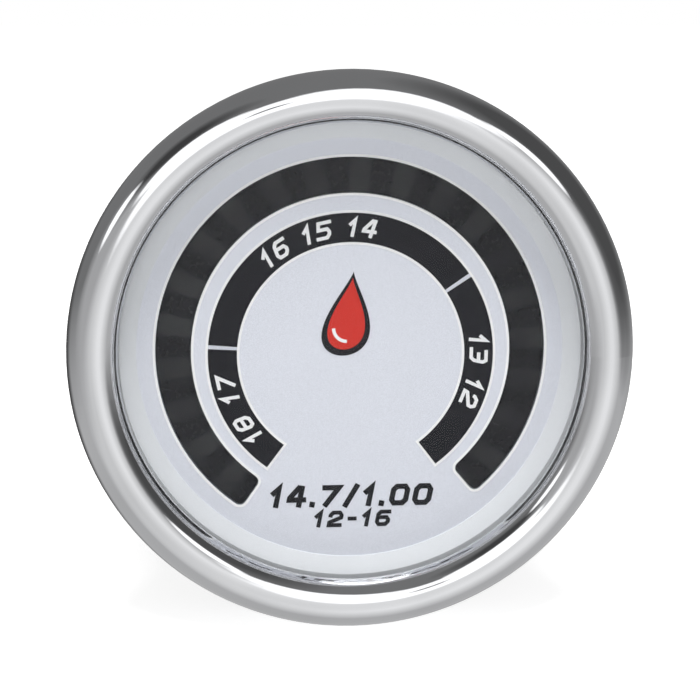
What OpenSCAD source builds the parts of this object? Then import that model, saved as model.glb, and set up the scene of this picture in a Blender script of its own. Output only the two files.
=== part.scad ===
// Dashboard air and fuel ratio gauge: an arc of indicator lamps behind a smoked window.
// The case drops into a round panel hole, and a strap on two studs clamps it from behind.
// Millimetres, +Z up. The dial faces -Y, and the origin is on the axis at the panel's face.

/* [Bezel] */
// Outside diameter of the bezel
bezel_d = 57.2; // [50:0.1:68]
// How far the bezel reaches past the edge of the panel's hole
bezel_lap = 2.4; // [2.1:0.05:2.8]
// Height of the bezel's crest over the glass
crest_rise = 2.4; // [2.2:0.1:2.8]
// Radius of the rolled bead that makes the crest
bead_r = 2.6; // [2.4:0.05:2.9]
// Thickness of the bezel's metal
bezel_t = 0.9; // [0.7:0.05:1]
// Width cut off the bead's inner side, where the lip ends
lip_trim = 0.1; // [0.05:0.05:0.5]
// Angle at which the bezel's wall draws in behind the bead
bezel_draft = 15; // [10:1:18]

/* [Panel] */
// Play between the case and the hole in the dashboard panel, on the diameter
panel_play = 0.6; // [0.4:0.1:1]
// Room for the panel between bezel and feet, as shown
panel_room = 6; // [5:0.5:7]

/* [Lens and light ring] */
// Thickness of the glass
lens_t = 1.5; // [1.2:0.1:1.8]
// Thickness of the pale ring between glass and dial
ring_t = 1; // [0.8:0.1:1.4]
// Width of that ring as seen from the front
ring_w = 1.7; // [1.5:0.1:2.3]

/* [Dial] */
// Thickness of the dial plate
dial_t = 0.8; // [0.6:0.1:1.2]
// Distance from the dial's visible edge to the arc window
window_margin = 1.9; // [1.5:0.1:2.4]
// Radial width of the arc window
window_w = 3.6; // [3.4:0.1:4]
// Where the window starts, clockwise from six o'clock
window_start = 35; // [32:1:38]
// Where the window ends, clockwise from six o'clock
window_end = 319.6; // [317:0.2:322]
// Distance from the window to the zone band
band_gap = 1.7; // [1.3:0.05:2]
// Radial width of the zone band
band_w = 2.95; // [2.4:0.05:3.2]
// Where the zone band starts, clockwise from six o'clock
band_start = 36.7; // [32:0.1:42]
// Where the zone band ends, clockwise from six o'clock
band_end = 323; // [318:0.5:328]
// Middle of the light line between the lean and the middle zone
lean_line = 94.1; // [88:0.1:98]
// Middle of the light line between the middle and the rich zone
rich_line = 236.1; // [230:0.1:242]

/* [Lamps] */
// Number of lamps in the arc
led_count = 20; // [16:1:22]
// Lamps in the lean zone, at the start of the arc
lean_count = 4; // [2:1:5]
// Lamps in the rich zone, at the end of the arc
rich_count = 6; // [3:1:8]
// Angle from the window's start to the first lamp's cell
led_lead = 1.8; // [1.5:0.1:3.4]
// Angle from the last lamp's cell to the window's end
led_tail = 4.8; // [1.5:0.1:6]
// Angle left for the wall between two cells
cell_wall = 1.9; // [1.4:0.1:2.6]

/* [Case] */
// Depth of the case behind the panel's face
case_depth = 38; // [33:0.5:46]
// Wall of the case at its mouth
case_wall = 1.2; // [1:0.1:1.3]
// Thickness of the case's back
case_back = 1.5; // [1.2:0.1:2]
// Thickness of the flange that the bezel clamps
flange_t = 1.2; // [1:0.1:1.5]
// Length of the turned band that centres the case in the panel
register_len = 9; // [7:0.5:12]

/* [Boards] */
// Thickness of the circuit boards
board_t = 1.6; // [1.2:0.1:1.8]
// Height of the moulded baffle in front of the lamp board
baffle_h = 4.7; // [4.4:0.1:5.2]
// Room behind the driver board for its parts
back_room = 18.5; // [18:0.5:22]

/* [Clamp] */
// Distance from the studs' heads to the case's inner wall
stud_edge = 3.4; // [2.4:0.1:4.4]
// Thread diameter of the studs
stud_d = 4.166; // [3.9:0.002:4.8]
// Distance that the studs reach behind the case
stud_tail = 22; // [22:0.5:28]
// Width of the strap
strap_w = 10.5; // [10:0.1:13]
// Thickness of the strap
strap_t = 1.4; // [1.4:0.1:2]
// Room between the studs' collars and the strap
strap_room = 5.5; // [5.5:0.1:7]
// Size of the nuts across their flats
nut_flats = 8.73; // [8.2:0.01:9.4]
// Height of the nuts
nut_h = 3.2; // [2.8:0.1:3.8]

/* [Lamp socket] */
// Diameter of the twist-in lamp
bulb_d = 10; // [9:0.1:10.4]
// Distance from the bulb's tip to the lamp board
bulb_gap = 6.5; // [4:0.5:8]
// Wall of the socket round the bulb
neck_wall = 0.75; // [0.6:0.05:1]
// Distance from the socket's lugs to the case's inner wall
lamp_edge = 1.3; // [1:0.1:1.6]

/* [Lead outlet] */
// Diameter of the grommet's bore
lead_bore_d = 5; // [4:0.1:5.5]
// Distance from the grommet's rim to the case's inner wall
lead_edge = 3.1; // [2:0.1:4]

/* [Hidden] */
$fn = 96;

// Overrun of every cut
over = 1;
// Gap between pieces that drop into each other
fit = 0.1;
// Gap round a turning shaft
running = 0.05;
// Gap between a fixed pin and its hole
snug = 0.02;
// Gap between faces that slide on each other
face_gap = 0.1;

// Stack of clamped pieces, by the height of each front face
flange_z = bezel_t + flange_t;
dial_z = flange_z;
ring_z = dial_z + ring_t;
lens_z = ring_z + lens_t;
lip_play = 0.05;
stack_top = lens_z + lip_play;
dial_back = dial_z - dial_t;
display_z = dial_back - baffle_h;
guide_z = display_z - board_t;
guide_foot = 1.6;
ledge_z = guide_z - guide_foot;
inner_back = case_back - case_depth;
driver_back = inner_back + back_room;
driver_z = driver_back + board_t;
board_gap = guide_z - driver_z;

// Bezel, outside in
bezel_h = lens_z + crest_rise;
bezel_r = bezel_d / 2;
bead_at = bezel_r - bead_r;
bead_z = bezel_h - bead_r;
hollow_r = bead_r - bezel_t;
lip_r = bezel_r - 2 * bead_r + lip_trim;
curl_share = 0.7;
curl_r = bezel_t * curl_share;
curl_play = 0.3;
curl_at = drawn_in(bead_r - curl_r, curl_r);
stack_play = 0.1;
stack_r = drawn_in(hollow_r, bezel_t) - stack_play;

// Case radii
panel_hole_d = bezel_d - 2 * bezel_lap;
barrel_r = (panel_hole_d - panel_play) / 2;
relief = 0.3;
rear_step = 0.4;
relief_len = 0.4;
case_in_r = barrel_r - case_wall;
ledge_w = 1.3;
rear_in_r = case_in_r - ledge_w;
back_round = 0.8;

// Light guide and what drops into it
guide_wall = 1.5;
guide_step = 1.2;
guide_r = case_in_r - fit;
guide_in_r = guide_r - guide_wall;
inner_r = guide_in_r - fit;
driver_r = rear_in_r - guide_step - fit;

// Dial layout, outside in
dial_view_r = lip_r - ring_w;
window_out_r = dial_view_r - window_margin;
window_in_r = window_out_r - window_w;
band_out_r = window_in_r - band_gap;
band_in_r = band_out_r - band_w;
band_drop = 0.3;
band_line = 1.7;
print_t = 0.06;
ring_foot = 0.15;
ring_flare = 1.7;
window_round = 0.7;
arc_steps = 72;
corner_steps = 4;
window_sunk = 0.1;
window_lap = 0.6;
window_flange_t = 0.6;
window_sweep = window_end - window_start;
led_pitch = (window_sweep - led_lead - led_tail) / led_count;
gasket_play = 0.1;
lens_chamfer = 0.2;

// Lamp cells
cell_inset = 0.25;
cell_in_r = window_in_r + cell_inset;
cell_out_r = window_out_r - cell_inset;
cell_mid_r = (cell_in_r + cell_out_r) / 2;
led_play = 0.3;
led_len = cell_out_r - cell_in_r - 2 * led_play;
led_w = 2 * ((cell_mid_r - led_len / 2) * tan((led_pitch - cell_wall) / 2) - led_play);
led_h = 0.9;
led_rim = 0.2;
led_dome_r = min(led_w, led_len) / 2 - led_rim;
led_dome_sink = 0.3;
web_t = 1.2;
web_rim = 2;
web_recess_r = window_in_r - window_lap - web_rim;

// Screws and spacers between the boards
post_wall = 0.7;
post_r_at = window_in_r - window_lap - post_wall;
screw_r = 1;
screw_head_r = 1.8;
screw_head_h = 1.3;
screw_slot_w = 0.5;
screw_bite = 3;
screw_hole_r = screw_r + fit;
spacer_r = 1.9;
board_rim = 0.9;
board_hole_r = post_r_at - spacer_r - board_rim;

// Header between the boards
pin_count = 10;
pin_pitch = 2;
pin_r = 0.3;
pin_row_y = -(board_hole_r + driver_r) / 2;
strip_w = 2.4;
strip_h = 2.5;

// Driver chips, upright beside each other, with bent legs that stand on the board
chip_size = [9.9, 3.9, 1.5];
chip_pin_count = 8;
chip_pin_pitch = 1.27;
chip_lift = 0.15;
chip_pin = [0.4, 0.2];
chip_splay = 1.05;
chip_at_share = [0.18, -0.02];
chip_notch_r = 0.6;
chip_notch_t = 0.3;

// Loose parts on the driver board, at shares of the board's radius
can_r = 4;
can_h = 11.5;
can_at_share = [-0.2, -0.7];
can_groove = 0.3;
can_bung = 0.8;
tab_size = [1.3, 10, 14];
tab_body = [3.2, 10, 9];
tab_at_share = [0.78, 0];
tab_hole_r = 1.8;
tab_hole_edge = 2.8;
tab_lead_pitch = 2.54;
lead_wire_r = 0.35;
lead_lift = 1;
axial_span = 7.62;
resistor_r = 0.95;
resistor_len = 3.5;
resistor_count = 4;
resistor_pitch = 2.54;
resistor_at_share = [-0.3, 0];
diode_r = 1.35;
diode_len = 4.2;
diode_at_share = [0.31, -0.09];
trim_size = [6.5, 6.5, 4.6];
trim_at_share = [-0.78, 0.14];
trim_screw_r = 1.7;
trim_slot = [2.6, 0.6, 0.5];
plug_size = [10, 4.6, 6];
plug_at_share = [0.34, -0.68];
plug_wall = 0.8;
plug_pins = 4;

// Studs, nuts and strap
stud_r = stud_d / 2;
stud_head_r = 4;
stud_head_h = 2;
stud_x = rear_in_r - stud_head_r - stud_edge;
stud_reach = case_depth + stud_tail;
stud_collar_r = 3.2;
stud_collar_h = 1;
stud_chamfer = 0.6;
stud_play = 0.4;
strap_hole_r = stud_r + stud_play;
leg_len = case_depth + stud_collar_h + strap_room - panel_room;
leg_play = 1.5;
leg_x = barrel_r + leg_play;
bend_r = 2;
foot_notch_r = 2.6;
strap_z = -panel_room - leg_len;
washer_r = 3.8;
washer_t = 1;
washer_split = 0.8;
washer_z = strap_z - strap_t;
nut_z = washer_z - washer_t - face_gap;
nut_chamfer = 0.5;

// Lamp and its socket
bulb_r = bulb_d / 2;
bulb_glass_t = 0.5;
bulb_sunk = 2.4;
bulb_play = 0.15;
neck_r = bulb_r + bulb_play + neck_wall;
socket_rim = 2;
socket_flange_r = neck_r + socket_rim;
socket_flange_t = 1.5;
socket_front = 5.4;
bulb_foot = inner_back + socket_front - bulb_sunk;
bulb_len = guide_z - bulb_gap - bulb_foot;
lug_reach = 1.2;
lamp_up = rear_in_r - neck_r - lug_reach - lamp_edge;
lamp_cut_play = 1.1;
lug_w = 2.6;
lug_t = 1.2;
lug_turn = 45;
notch_play = 0.3;
grip_size = [13, 2.6, 4.4];
grip_round = 1.2;
wire_hole_r = 0.9;
wire_hole_at = 3.4;

// Lead grommet
grommet_lap = 1.5;
grommet_out_h = 3.2;
grommet_in_h = 1.2;
grommet_wall = 1.3;
grommet_round = 0.6;
lead_bore_r = lead_bore_d / 2;
grommet_r = lead_bore_r + grommet_wall;
lead_down = rear_in_r - grommet_r - grommet_lap - lead_edge;

// Turns a piece drawn as it is seen from the front, with height towards the viewer
module as_seen() {
  rotate([90, 0, 0]) children();
}

// A flat outline given thickness, from its front face back
module plate(front, thick) {
  translate([0, 0, front - thick]) linear_extrude(height = thick) children();
}

// A round bar from its front face back
module rod(r, front, len) {
  translate([0, 0, front - len]) cylinder(r = r, h = len);
}

// Radius, at height z, of the drawn-in wall that lies r outside the bead's middle
function drawn_in(r, z) =
  bead_at + (r - (bead_z - z) * sin(bezel_draft)) / cos(bezel_draft);

// Angle on the drawing of a place given clockwise from six o'clock
function on_dial(deg) = 270 - deg;

// Point at an angle and radius
function polar(r, a) = [r * cos(a), r * sin(a)];

// A wedge that covers every radius up to reach
module wedge(reach, from, sweep) {
  steps = ceil(sweep / 40);
  far = 2 * reach;
  polygon(concat([[0, 0]], [for (i = [0 : steps]) polar(far, from + sweep * i / steps)]));
}

// Points of an arc about a centre
function arc(centre, r, from, to, steps) =
  [for (i = [0 : steps]) centre + polar(r, from + (to - from) * i / steps)];

// A piece of a flat ring between two angles
module ring_sector(r_in, r_out, from, sweep) {
  intersection() {
    difference() {
      circle(r = r_out);
      circle(r = r_in);
    }
    wedge(r_out, from, sweep);
  }
}

// The same with its four corners rounded, as one outline
module rounded_sector(r_in, r_out, from, sweep, round_r) {
  r_far = r_out - round_r;
  r_near = r_in + round_r;
  far = asin(round_r / r_far);
  near = asin(round_r / r_near);
  to = from + sweep;
  polygon(concat(
    arc([0, 0], r_out, from + far, to - far, arc_steps),
    arc(polar(r_far, to - far), round_r, to - far, to + 90, corner_steps),
    arc(polar(r_near, to - near), round_r, to + 90, to - near + 180, corner_steps),
    arc([0, 0], r_in, to - near, from + near, arc_steps),
    arc(polar(r_near, from + near), round_r, from + near + 180, from + 270, corner_steps),
    arc(polar(r_far, from + far), round_r, from - 90, from + far, corner_steps)
  ));
}

// The arc window's rounded outline, drawn in on all sides by a gap
module window_outline(gap) {
  turn = asin(gap / window_out_r);
  rounded_sector(window_in_r + gap, window_out_r - gap, on_dial(window_end) + turn,
                 window_sweep - 2 * turn, window_round - gap);
}

// The square-cornered outline of the flange behind it, grown on all sides by a lap
module flange_outline(lap) {
  turn = asin(lap / window_out_r);
  ring_sector(window_in_r - lap, window_out_r + lap, on_dial(window_end) - turn,
              window_sweep + 2 * turn);
}

// Places its children in the middle of each lamp cell from one to another
module at_cells(first, last) {
  for (i = [first : last]) {
    rotate([0, 0, on_dial(window_start + led_lead + led_pitch * (i + 0.5))]) children();
  }
}

// Places its children at the four posts that join the boards
module at_posts() {
  for (a = [45 : 90 : 315]) {
    translate(polar(post_r_at, a)) children();
  }
}

// Places its children at shares of the driver board's radius
module on_driver(shares, z) {
  translate([shares[0] * driver_r, shares[1] * driver_r, z]) children();
}

// Places its children at both studs
module at_studs() {
  for (side = [-1, 1]) {
    translate([side * stud_x, 0, 0]) children();
  }
}

// Holes for the header's pins
module pin_row() {
  for (i = [0 : pin_count - 1]) {
    translate([(i - (pin_count - 1) / 2) * pin_pitch, pin_row_y, 0]) children();
  }
}

// The side of the bezel's wall that lies r outside the bead's middle, down to height z
module drawn_side(r, z) {
  polygon([
    [0, z],
    [drawn_in(r, z), z],
    [bead_at + r * cos(bezel_draft), bead_z - r * sin(bezel_draft)],
    [0, bead_z - r * sin(bezel_draft)]
  ]);
}

// Cross-section of the rolled bezel: bead, drawn-in wall and the rear edge turned in
module bezel_section() {
  curl_in_r = barrel_r + curl_play;
  curl_low = curl_r - curl_r * sin(bezel_draft);
  difference() {
    union() {
      translate([bead_at, bead_z]) circle(r = bead_r);
      drawn_side(bead_r, curl_low);
      square([curl_at, curl_r]);
      translate([curl_at, curl_r]) circle(r = curl_r);
    }
    drawn_side(hollow_r, bezel_t);
    translate([0, bezel_t]) square([bead_at, stack_top - bezel_t]);
    translate([bead_at, bead_z]) circle(r = hollow_r);
    translate([0, bezel_t]) square([lip_r, bezel_h]);
    translate([0, -over]) square([curl_in_r, bezel_t + 2 * over]);
  }
}

module bezel() {
  color("gainsboro") as_seen() rotate_extrude() bezel_section();
}

module lens_gasket() {
  color("dimgray") as_seen() rotate_extrude() intersection() {
    translate([bead_at, bead_z]) circle(r = hollow_r - gasket_play);
    translate([0, lens_z]) square([stack_r, bezel_h]);
  }
}

module lens() {
  color("lightcyan", 0.3) as_seen() rotate_extrude() polygon([
    [0, ring_z],
    [stack_r - lens_chamfer, ring_z],
    [stack_r, ring_z + lens_chamfer],
    [stack_r, lens_z - lens_chamfer],
    [stack_r - lens_chamfer, lens_z],
    [0, lens_z]
  ]);
}

module reveal_ring() {
  color("white") as_seen() rotate_extrude() polygon([
    [dial_view_r, dial_z],
    [stack_r, dial_z],
    [stack_r, ring_z],
    [dial_view_r + ring_flare, ring_z],
    [dial_view_r, dial_z + ring_foot]
  ]);
}

module dial_plate() {
  color("lavender") as_seen() plate(dial_z, dial_t) difference() {
    circle(r = inner_r);
    window_outline(0);
  }
}

// The printed band of three zones, parted by two light lines
module zone_band() {
  edges = [band_start, lean_line, rich_line, band_end];
  half = band_line / 2;
  color("darkslategray") as_seen() translate([0, -band_drop, 0])
    plate(dial_z + print_t, print_t) for (i = [0 : 2]) {
      from = edges[i] + (i == 0 ? 0 : half);
      to = edges[i + 1] - (i == 2 ? 0 : half);
      ring_sector(band_in_r, band_out_r, on_dial(to), to - from);
    }
}

module arc_window() {
  color("black", 0.8) as_seen() {
    plate(dial_z - window_sunk, dial_t - window_sunk) window_outline(fit);
    plate(dial_back, window_flange_t) flange_outline(window_lap);
  }
}

// The moulded baffle, with a dark cell for each lamp
module led_baffle() {
  color("dimgray") as_seen() difference() {
    rod(inner_r, dial_back, baffle_h);
    plate(dial_back + over, window_flange_t + over) flange_outline(window_lap + fit);
    at_cells(0, led_count - 1) plate(dial_back, baffle_h + over)
      ring_sector(cell_in_r, cell_out_r, -(led_pitch - cell_wall) / 2, led_pitch - cell_wall);
    rod(web_recess_r, dial_back - web_t, baffle_h);
    at_posts() rod(screw_r + snug, display_z + screw_bite, screw_bite + over);
  }
}

// One lamp: a square base with a round dome, standing on the lamp board
module led() {
  translate([cell_mid_r, 0, display_z]) {
    translate([-led_len / 2, -led_w / 2, 0]) cube([led_len, led_w, led_h]);
    intersection() {
      translate([0, 0, led_h - led_dome_sink]) sphere(r = led_dome_r);
      translate([-led_dome_r, -led_dome_r, 0])
        cube([2 * led_dome_r, 2 * led_dome_r, led_h + led_dome_r]);
    }
  }
}

module lean_leds() {
  color("firebrick") as_seen() at_cells(0, lean_count - 1) led();
}

module stoich_leds() {
  color("goldenrod") as_seen() at_cells(lean_count, led_count - rich_count - 1) led();
}

module rich_leds() {
  color("seagreen") as_seen() at_cells(led_count - rich_count, led_count - 1) led();
}

// Clear collar that carries the boards and leads the lamp's light to the pale ring
module light_guide() {
  color("azure", 0.6) as_seen() rotate_extrude() polygon([
    [guide_r, dial_z],
    [guide_in_r, dial_z],
    [guide_in_r, guide_z],
    [guide_in_r - guide_step, guide_z],
    [guide_in_r - guide_step, ledge_z],
    [guide_r, ledge_z]
  ]);
}

module display_board() {
  color("darkgreen") as_seen() difference() {
    rod(inner_r, display_z, board_t);
    rod(board_hole_r, display_z + over, board_t + 2 * over);
    at_posts() rod(screw_hole_r, display_z + over, board_t + 2 * over);
    pin_row() rod(pin_r + snug, display_z + over, board_t + 2 * over);
  }
}

module board_spacers() {
  color("silver") as_seen() at_posts() difference() {
    rod(spacer_r, guide_z, board_gap);
    rod(screw_hole_r, guide_z + over, board_gap + 2 * over);
  }
}

// The driver board, cut out at the top to let the lamp through
module driver_board() {
  cut_r = bulb_r + lamp_cut_play;
  color("darkgreen") as_seen() difference() {
    rod(driver_r, driver_z, board_t);
    plate(driver_z + over, board_t + 2 * over) {
      translate([0, lamp_up]) circle(r = cut_r);
      translate([-cut_r, lamp_up]) square([2 * cut_r, driver_r]);
    }
    at_posts() rod(screw_hole_r, driver_z + over, board_t + 2 * over);
    pin_row() rod(pin_r + snug, driver_z + over, board_t + 2 * over);
  }
}

// Slotted screws from behind, through both boards into the baffle
module board_screws() {
  tip = display_z + screw_bite - fit;
  color("silver") as_seen() at_posts() difference() {
    union() {
      rod(screw_r, tip, tip - driver_back);
      rod(screw_head_r, driver_back, screw_head_h);
    }
    translate([-screw_head_r - over, -screw_slot_w / 2, driver_back - screw_head_h - over])
      cube([2 * (screw_head_r + over), screw_slot_w, screw_head_h / 2 + over]);
  }
}

module header_pins() {
  row_w = pin_count * pin_pitch;
  color("goldenrod") as_seen() {
    pin_row() rod(pin_r, display_z, display_z - driver_back);
    translate([-row_w / 2, pin_row_y - strip_w / 2, driver_z]) cube([row_w, strip_w, strip_h]);
  }
}

// One leg of a chip: out of its side, down to the board and out along it
module chip_leg() {
  top = chip_lift + chip_size[2] / 2;
  knee = (chip_splay - chip_pin[1]) / 2;
  translate([-chip_pin[0] / 2, chip_size[1] / 2, 0]) {
    translate([0, 0, -top]) cube([chip_pin[0], knee + chip_pin[1], chip_pin[1]]);
    translate([0, knee, -top]) cube([chip_pin[0], chip_pin[1], top]);
    translate([0, knee, -chip_pin[1]]) cube([chip_pin[0], chip_splay - knee, chip_pin[1]]);
  }
}

// One chip, its length along x
module chip() {
  back = -chip_lift - chip_size[2];
  difference() {
    translate([-chip_size[0] / 2, -chip_size[1] / 2, back]) cube(chip_size);
    translate([-chip_size[0] / 2, 0, back - over])
      cylinder(r = chip_notch_r, h = over + chip_notch_t);
  }
  for (i = [0 : chip_pin_count - 1]) {
    translate([(i - (chip_pin_count - 1) / 2) * chip_pin_pitch, 0, 0]) {
      chip_leg();
      mirror([0, 1, 0]) chip_leg();
    }
  }
}

module driver_chips() {
  color("dimgray") as_seen() for (side = [-1, 1]) {
    on_driver([side * chip_at_share[0], chip_at_share[1]], driver_back)
      rotate([0, 0, 90]) chip();
  }
}

module capacitor() {
  groove_z = -can_bung - can_groove;
  color("slategray") as_seen() on_driver(can_at_share, driver_back) difference() {
    rod(can_r, 0, can_h);
    translate([0, 0, groove_z]) rotate_extrude() translate([can_r, 0]) circle(r = can_groove);
  }
}

module voltage_regulator() {
  color("gray") as_seen() on_driver(tab_at_share, driver_back - lead_lift) {
    translate([0, -tab_size[1] / 2, -tab_size[2]]) difference() {
      cube(tab_size);
      translate([-over, tab_size[1] / 2, tab_hole_edge]) rotate([0, 90, 0])
        cylinder(r = tab_hole_r, h = tab_size[0] + 2 * over);
    }
    translate([-tab_body[0], -tab_body[1] / 2, -tab_body[2]]) cube(tab_body);
    for (i = [-1 : 1]) {
      translate([-tab_body[0] / 2, i * tab_lead_pitch, 0]) rod(lead_wire_r, lead_lift, lead_lift);
    }
  }
}

// A part with a wire at each end, lying along x on the front of the driver board
module axial_part(r, len) {
  lift = r + lead_wire_r;
  translate([0, 0, lift]) rotate([0, 90, 0]) {
    translate([0, 0, -len / 2]) cylinder(r = r, h = len);
    translate([0, 0, -axial_span / 2]) cylinder(r = lead_wire_r, h = axial_span);
  }
  for (side = [-1, 1]) {
    translate([side * axial_span / 2, 0, 0]) {
      cylinder(r = lead_wire_r, h = lift);
      translate([0, 0, lift]) sphere(r = lead_wire_r);
    }
  }
}

module resistors() {
  color("tan") as_seen() on_driver(resistor_at_share, driver_z)
    for (i = [0 : resistor_count - 1]) {
      translate([0, (i - (resistor_count - 1) / 2) * resistor_pitch, 0])
        axial_part(resistor_r, resistor_len);
    }
}

module diode() {
  color("black") as_seen() on_driver(diode_at_share, driver_z) axial_part(diode_r, diode_len);
}

module brightness_trimmer() {
  color("royalblue") as_seen() on_driver(trim_at_share, driver_back) difference() {
    union() {
      translate([-trim_size[0] / 2, -trim_size[1] / 2, -trim_size[2]]) cube(trim_size);
      rod(trim_screw_r, -trim_size[2], trim_slot[2]);
    }
    translate([-trim_slot[0] / 2, -trim_slot[1] / 2, -trim_size[2] - trim_slot[2] - over])
      cube([trim_slot[0], trim_slot[1], trim_slot[2] + over]);
  }
}

// Shrouded header that the lead plugs onto
module lead_connector() {
  pitch = (plug_size[0] - 2 * plug_wall) / plug_pins;
  color("ivory") as_seen() on_driver(plug_at_share, driver_back) {
    translate([-plug_size[0] / 2, -plug_size[1] / 2, -plug_size[2]]) difference() {
      cube(plug_size);
      translate([plug_wall, plug_wall, -over])
        cube([plug_size[0] - 2 * plug_wall, plug_size[1] - 2 * plug_wall,
              plug_size[2] - plug_wall + over]);
    }
    for (i = [0 : plug_pins - 1]) {
      translate([(i - (plug_pins - 1) / 2) * pitch, 0, 0])
        rod(pin_r, -plug_wall / 2, plug_size[2] - plug_wall);
    }
  }
}

// Cross-section of the case, from the clamped flange to the rounded back
module case_section() {
  rear_r = barrel_r - rear_step;
  difference() {
    union() {
      translate([0, bezel_t]) square([stack_r, flange_t]);
      translate([0, -relief_len]) square([barrel_r - relief, relief_len + bezel_t]);
      translate([0, -relief_len - register_len]) square([barrel_r, register_len]);
      translate([0, back_round - case_depth])
        square([rear_r, case_depth - back_round - relief_len - register_len]);
      translate([0, -case_depth]) square([rear_r - back_round, back_round]);
      translate([rear_r - back_round, back_round - case_depth]) circle(r = back_round);
    }
    translate([0, ledge_z]) square([case_in_r, flange_z - ledge_z + over]);
    translate([0, inner_back]) square([rear_in_r, ledge_z - inner_back + over]);
  }
}

module case() {
  color("dimgray") as_seen() difference() {
    rotate_extrude() case_section();
    at_studs() rod(stud_r + snug, inner_back + over, case_back + 2 * over);
    translate([0, -lead_down, 0])
      rod(grommet_r + snug, inner_back + over, case_back + 2 * over);
    translate([0, lamp_up, 0]) {
      rod(neck_r + running, inner_back + over, case_back + 2 * over);
      plate(inner_back + over, case_back + 2 * over) intersection() {
        circle(r = neck_r + lug_reach + notch_play);
        square([2 * bezel_r, lug_w + 2 * notch_play], center = true);
      }
    }
  }
}

// Rubber grommet with a groove that grips the case's back
module lead_grommet() {
  top = inner_back + grommet_in_h;
  foot = -case_depth - grommet_out_h;
  rim = grommet_r + grommet_lap;
  color("black") as_seen() translate([0, -lead_down, 0]) rotate_extrude() difference() {
    union() {
      translate([lead_bore_r, foot]) square([grommet_wall, top - foot]);
      translate([lead_bore_r, inner_back]) square([rim - lead_bore_r, grommet_in_h]);
      translate([lead_bore_r, foot + grommet_round])
        square([rim - lead_bore_r, grommet_out_h - grommet_round]);
      translate([rim - grommet_round, foot + grommet_round]) circle(r = grommet_round);
      translate([lead_bore_r, foot]) square([rim - grommet_round - lead_bore_r, grommet_round]);
    }
    translate([0, foot - over]) square([lead_bore_r, top - foot + 2 * over]);
  }
}

// Headed studs, swaged into the case's back
module mounting_studs() {
  color("silver") as_seen() at_studs() rotate_extrude() polygon([
    [0, inner_back + stud_head_h],
    [stud_head_r, inner_back + stud_head_h],
    [stud_head_r, inner_back],
    [stud_r, inner_back],
    [stud_r, -case_depth],
    [stud_collar_r, -case_depth],
    [stud_collar_r, -case_depth - stud_collar_h],
    [stud_r, -case_depth - stud_collar_h],
    [stud_r, stud_chamfer - stud_reach],
    [stud_r - stud_chamfer, -stud_reach],
    [0, -stud_reach]
  ]);
}

// Twist-in socket: neck through the case's back, two lugs inside, a grip outside
module lamp_socket() {
  flange_front = -case_depth - face_gap;
  flange_back = flange_front - socket_flange_t;
  mouth = inner_back + socket_front;
  cup_r = bulb_r + bulb_play;
  color("black") as_seen() translate([0, lamp_up, 0]) difference() {
    union() {
      rod(neck_r, mouth, mouth - flange_front + face_gap);
      rod(socket_flange_r, flange_front, socket_flange_t);
      rotate([0, 0, lug_turn]) plate(inner_back + face_gap + lug_t, lug_t) intersection() {
        circle(r = neck_r + lug_reach);
        square([2 * bezel_r, lug_w], center = true);
      }
      plate(flange_back, grip_size[2]) {
        square([grip_size[0] - 2 * grip_round, grip_size[1]], center = true);
        for (side = [-1, 1]) {
          translate([side * (grip_size[0] / 2 - grip_round), 0]) circle(r = grip_size[1] / 2);
        }
      }
    }
    rod(cup_r, mouth + over, bulb_sunk + over);
    for (side = [-1, 1]) {
      translate([0, side * wire_hole_at, 0])
        rod(wire_hole_r, flange_back + over, socket_flange_t + 2 * over);
    }
  }
}

// Wedge bulb: a glass tube with a round end
module lamp_bulb() {
  color("white", 0.6) as_seen() translate([0, lamp_up, bulb_foot]) difference() {
    union() {
      cylinder(r = bulb_r, h = bulb_len - bulb_r);
      translate([0, 0, bulb_len - bulb_r]) sphere(r = bulb_r);
    }
    translate([0, 0, bulb_glass_t + bulb_r]) {
      cylinder(r = bulb_r - bulb_glass_t, h = bulb_len - 2 * bulb_r - bulb_glass_t);
      translate([0, 0, bulb_len - 2 * bulb_r - bulb_glass_t]) sphere(r = bulb_r - bulb_glass_t);
    }
  }
}

// Outline of the strap seen from above, with the feet towards the panel
module strap_outline(grow, round_r, foot) {
  half = leg_x + grow;
  back = strap_z - grow;
  translate([-half, back + round_r]) square([2 * half, foot - back - round_r]);
  translate([round_r - half, back]) square([2 * (half - round_r), round_r]);
  for (side = [-1, 1]) {
    translate([side * (half - round_r), back + round_r]) circle(r = round_r);
  }
}

module clamp_bracket() {
  color("silver") as_seen() difference() {
    rotate([90, 0, 0]) linear_extrude(height = strap_w, center = true) difference() {
      strap_outline(strap_t, bend_r + strap_t, -panel_room);
      strap_outline(0, bend_r, over - panel_room);
    }
    at_studs() rod(strap_hole_r, strap_z + over, strap_t + 2 * over);
    translate([-leg_x - strap_t - over, 0, -panel_room]) rotate([0, 90, 0])
      cylinder(r = foot_notch_r, h = 2 * (leg_x + strap_t + over));
  }
}

// Split spring washers under the nuts
module lock_washers() {
  color("gray") as_seen() at_studs() difference() {
    rod(washer_r, washer_z, washer_t);
    rod(strap_hole_r, washer_z + over, washer_t + 2 * over);
    translate([0, -washer_split / 2, washer_z - washer_t - over])
      cube([washer_r + over, washer_split, washer_t + 2 * over]);
  }
}

// Hexagon nut with both ends chamfered, threaded onto a stud
module nut() {
  corner_r = nut_flats / sqrt(3);
  flat_r = nut_flats / 2;
  difference() {
    intersection() {
      translate([0, 0, nut_z - nut_h]) cylinder(r = corner_r, h = nut_h, $fn = 6);
      rotate_extrude() polygon([
        [0, nut_z],
        [flat_r, nut_z],
        [corner_r, nut_z - nut_chamfer],
        [corner_r, nut_z - nut_h + nut_chamfer],
        [flat_r, nut_z - nut_h],
        [0, nut_z - nut_h]
      ]);
    }
    rod(stud_r + running, nut_z + over, nut_h + 2 * over);
  }
}

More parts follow.
